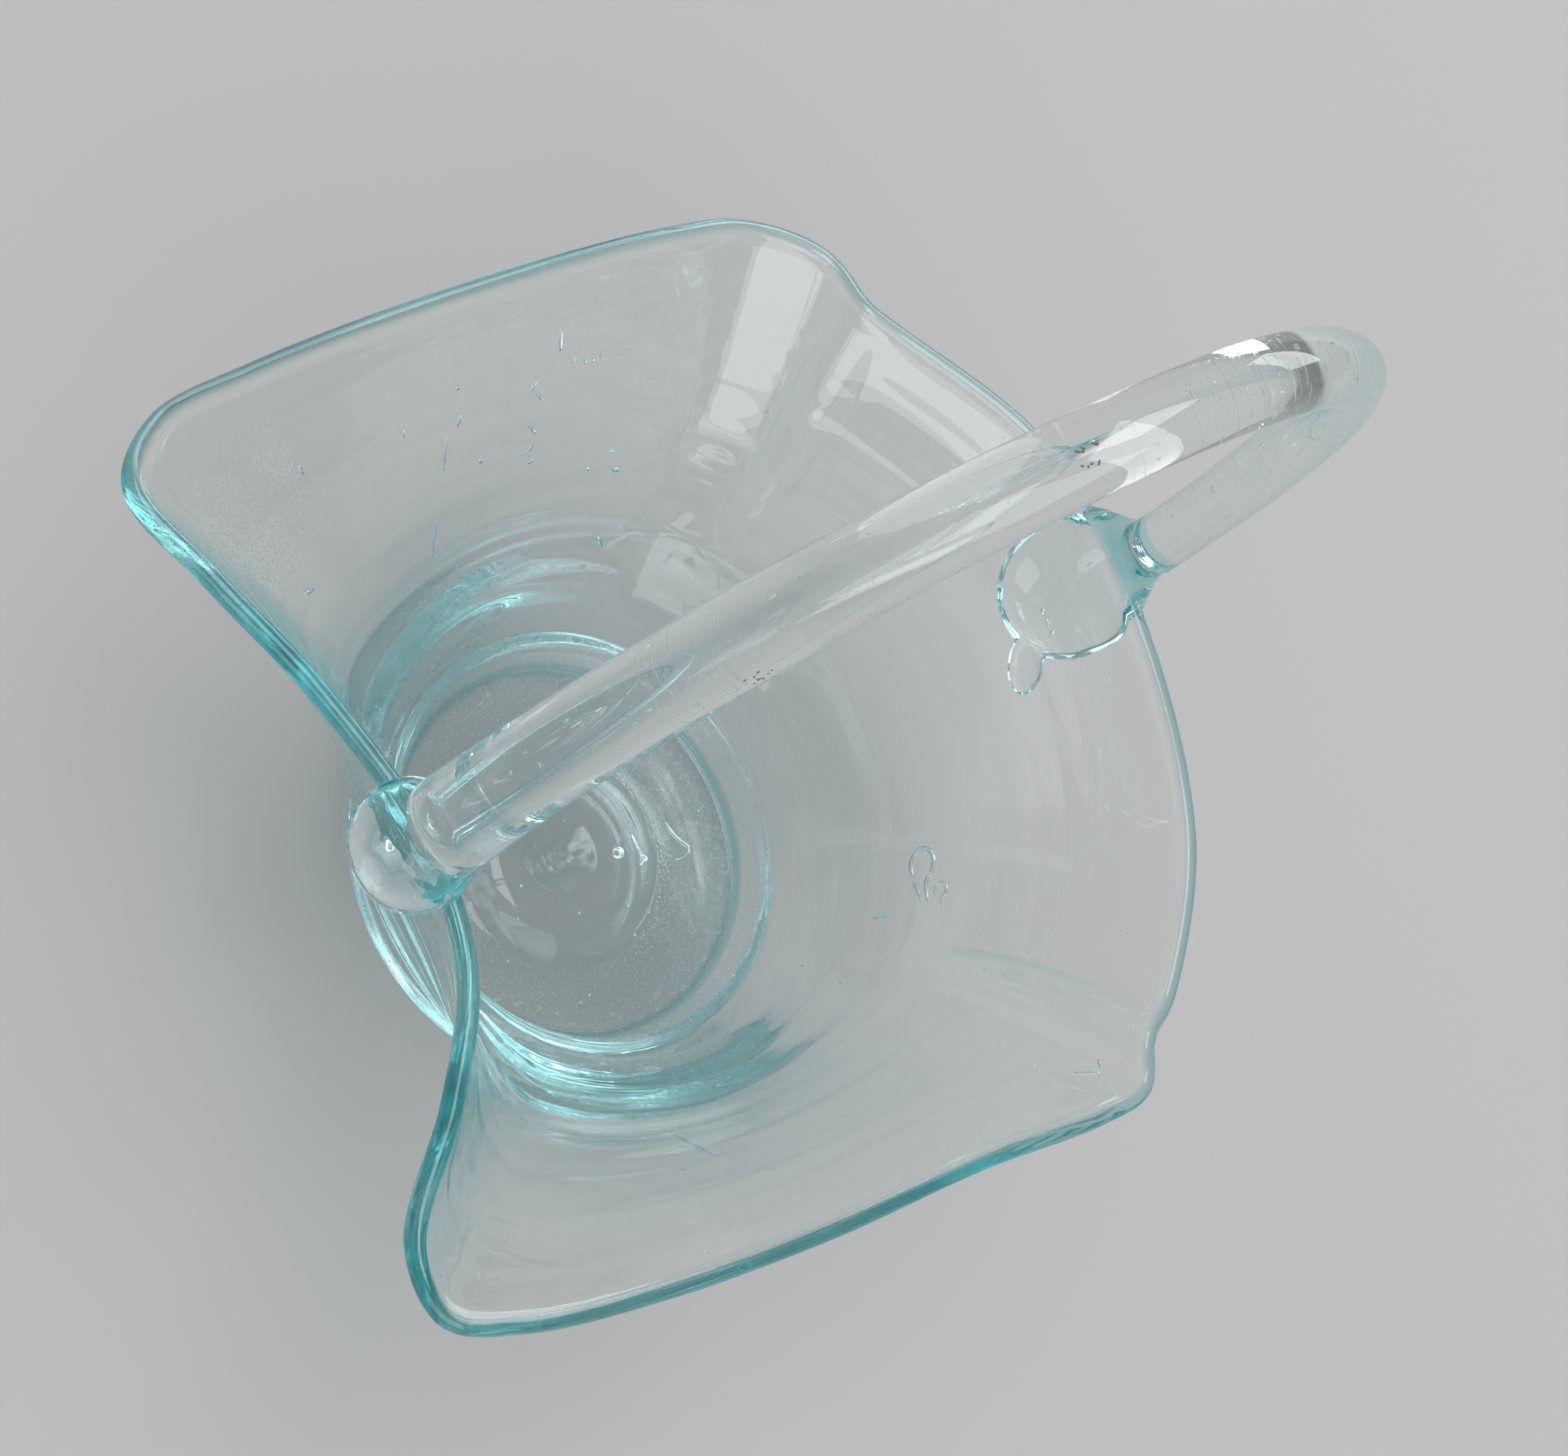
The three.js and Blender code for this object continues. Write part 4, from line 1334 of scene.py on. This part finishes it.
class AddRod(bpy.types.Operator):
    """The drawn glass rod of the handle"""

    bl_idname = "glass_basket.add_rod"
    bl_label = "Handle rod"

    def execute(self, context):
        b, h = context.scene.basket_bowl, context.scene.basket_handle
        rod = skin("drawn_rod", rod_rows(b, h))
        carve(rod, skin("knob_cutter", knob_rows(b, h, FUSED_GAP)))
        carve(rod, bowl_cutter(b))
        dress(rod, rod_glass(context.scene.basket_finish), "rod_glass", "handle_rod")
        return {"FINISHED"}


class AddPressedRoot(bpy.types.Operator):
    """The pad pressed on the outside of the right wall, its drip, and the fan up to the rod"""

    bl_idname = "glass_basket.add_pressed_root"
    bl_label = "Pressed root"

    def execute(self, context):
        b, h = context.scene.basket_bowl, context.scene.basket_handle
        root = skin("pressed_root", pad_rows(b, h))
        combine(root, skin("fan", fan_rows(b, h)), "UNION")
        combine(root, skin("drip", drip_rows(b, h)), "UNION")
        apply(root, "Run together", "REMESH", mode="VOXEL", voxel_size=0.36 * MM)
        apply(root, "Softened", "SMOOTH", factor=0.5, iterations=22)
        end, above = arch_point(b, h, [1.0, FAN_TOP])
        trim_beyond(root, end - unit(above - end) * FUSED_GAP, unit(above - end))
        carve(root, bowl_cutter(b))
        dress(root, root_glass(context.scene.basket_finish), "root_glass", "handle_pressed_root")
        return {"FINISHED"}


class AddScar(bpy.types.Operator):
    """The rough scar left by the holding rod under the foot"""

    bl_idname = "glass_basket.add_scar"
    bl_label = "Pontil scar"

    def execute(self, context):
        b, s = context.scene.basket_bowl, context.scene.basket_scar
        scar = skin("pontil_break", scar_rows(b, s))
        bpy.ops.object.shade_smooth_by_angle(angle=CREASE_ANGLE)
        dress(scar, broken_glass(context.scene.basket_finish), "scar_glass", "pontil_scar")
        return {"FINISHED"}


class AddSeeds(bpy.types.Operator):
    """Seeds, the air bubbles that are trapped in the glass"""

    bl_idname = "glass_basket.add_seeds"
    bl_label = "Seeds"

    def execute(self, context):
        b, h = context.scene.basket_bowl, context.scene.basket_handle
        pieces = [bubbles("bubbles", seed_shapes(b, h))]
        pieces += [thread(path, radius) for path, radius in hook_paths(b)]
        seeds = joined("trapped_seeds", pieces)
        material, nodes, surface = clear_material("trapped air", 1 / GLASS_IOR)
        surface.inputs["Base Color"].default_value = (0.99, 1, 1, 1)
        dress(seeds, material, "bowl_glass")
        return {"FINISHED"}


class AddScale(bpy.types.Operator):
    """Two specks of brown scale just under the rod's surface"""

    bl_idname = "glass_basket.add_scale"
    bl_label = "Brown scale"

    def execute(self, context):
        b, h = context.scene.basket_bowl, context.scene.basket_handle
        points, ahead = even_arch(b, h, ARCH_STEPS)
        across, away = rod_frame(ahead)
        draw = random.Random(8)
        shapes = []
        for way, degrees in SCALE_SPOTS:
            step = round(way * ARCH_STEPS)
            for _ in range(SCALE_FLAKES):
                turn = math.radians(degrees + draw.gauss(0, 9))
                side = across[step] * math.cos(turn) + away[step] * math.sin(turn)
                place = points[step] + side * (rod_radius(h, way) - 0.35 * MM)
                place = place + ahead[step] * draw.gauss(0, 1.1) * MM
                long = draw.uniform(0.35, 1.1) * MM
                slant = unit(ahead[step] + np.cross(side, ahead[step]) * draw.uniform(-1.5, 1.5))
                shapes.append((place, slant, side, long, 0.28 * MM))
        spots = bubbles("brown_scale", shapes)
        dress(spots, scale_spot(), "rod_glass")
        return {"FINISHED"}


class FuseJoints(bpy.types.Operator):
    """Marks the faces where the hot glass was fused, so that light passes straight through"""

    bl_idname = "glass_basket.fuse_joints"
    bl_label = "Fuse joints"

    def execute(self, context):
        objects = bpy.data.objects
        for one, other in (
            ("blown_bowl", "folded_end"),
            ("blown_bowl", "pressed_root"),
            ("blown_bowl", "pontil_break"),
            ("blown_bowl", "drawn_rod"),
            ("drawn_rod", "folded_end"),
            ("drawn_rod", "pressed_root"),
        ):
            if one == "blown_bowl":
                cut_border_small(objects[one], objects[other])
            mark_fused(objects[one], objects[other])
        return {"FINISHED"}


class BasketPanel(bpy.types.Panel):
    """Lists the basket's pieces in the order they are made"""

    bl_idname = "VIEW3D_PT_glass_basket"
    bl_label = "Glass basket"
    bl_space_type = "VIEW_3D"
    bl_region_type = "UI"
    bl_category = "Glass basket"

    def draw(self, context):
        for operator in OPERATORS:
            self.layout.operator(operator.bl_idname)
        for group, kind in GROUPS.items():
            for name in kind.__annotations__:
                self.layout.prop(getattr(context.scene, group), name)


GROUPS = {
    "basket_bowl": BasketBowl,
    "basket_handle": BasketHandle,
    "basket_scar": BasketScar,
    "basket_finish": BasketFinish,
}
OPERATORS = (
    AddStage,
    AddBowl,
    AddFoldedEnd,
    AddRod,
    AddPressedRoot,
    AddScar,
    AddSeeds,
    AddScale,
    FuseJoints,
)


def register():
    for kind in (*GROUPS.values(), *OPERATORS, BasketPanel):
        bpy.utils.register_class(kind)
    for name, kind in GROUPS.items():
        setattr(bpy.types.Scene, name, bpy.props.PointerProperty(type=kind))


def unregister():
    for name in GROUPS:
        delattr(bpy.types.Scene, name)
    for kind in reversed((*GROUPS.values(), *OPERATORS, BasketPanel)):
        bpy.utils.unregister_class(kind)


def main():
    register()
    bpy.ops.glass_basket.add_stage()
    bpy.ops.glass_basket.add_bowl()
    bpy.ops.glass_basket.add_folded_end()
    bpy.ops.glass_basket.add_rod()
    bpy.ops.glass_basket.add_pressed_root()
    bpy.ops.glass_basket.add_scar()
    bpy.ops.glass_basket.add_seeds()
    bpy.ops.glass_basket.add_scale()
    bpy.ops.glass_basket.fuse_joints()


if __name__ == "__main__":
    main()
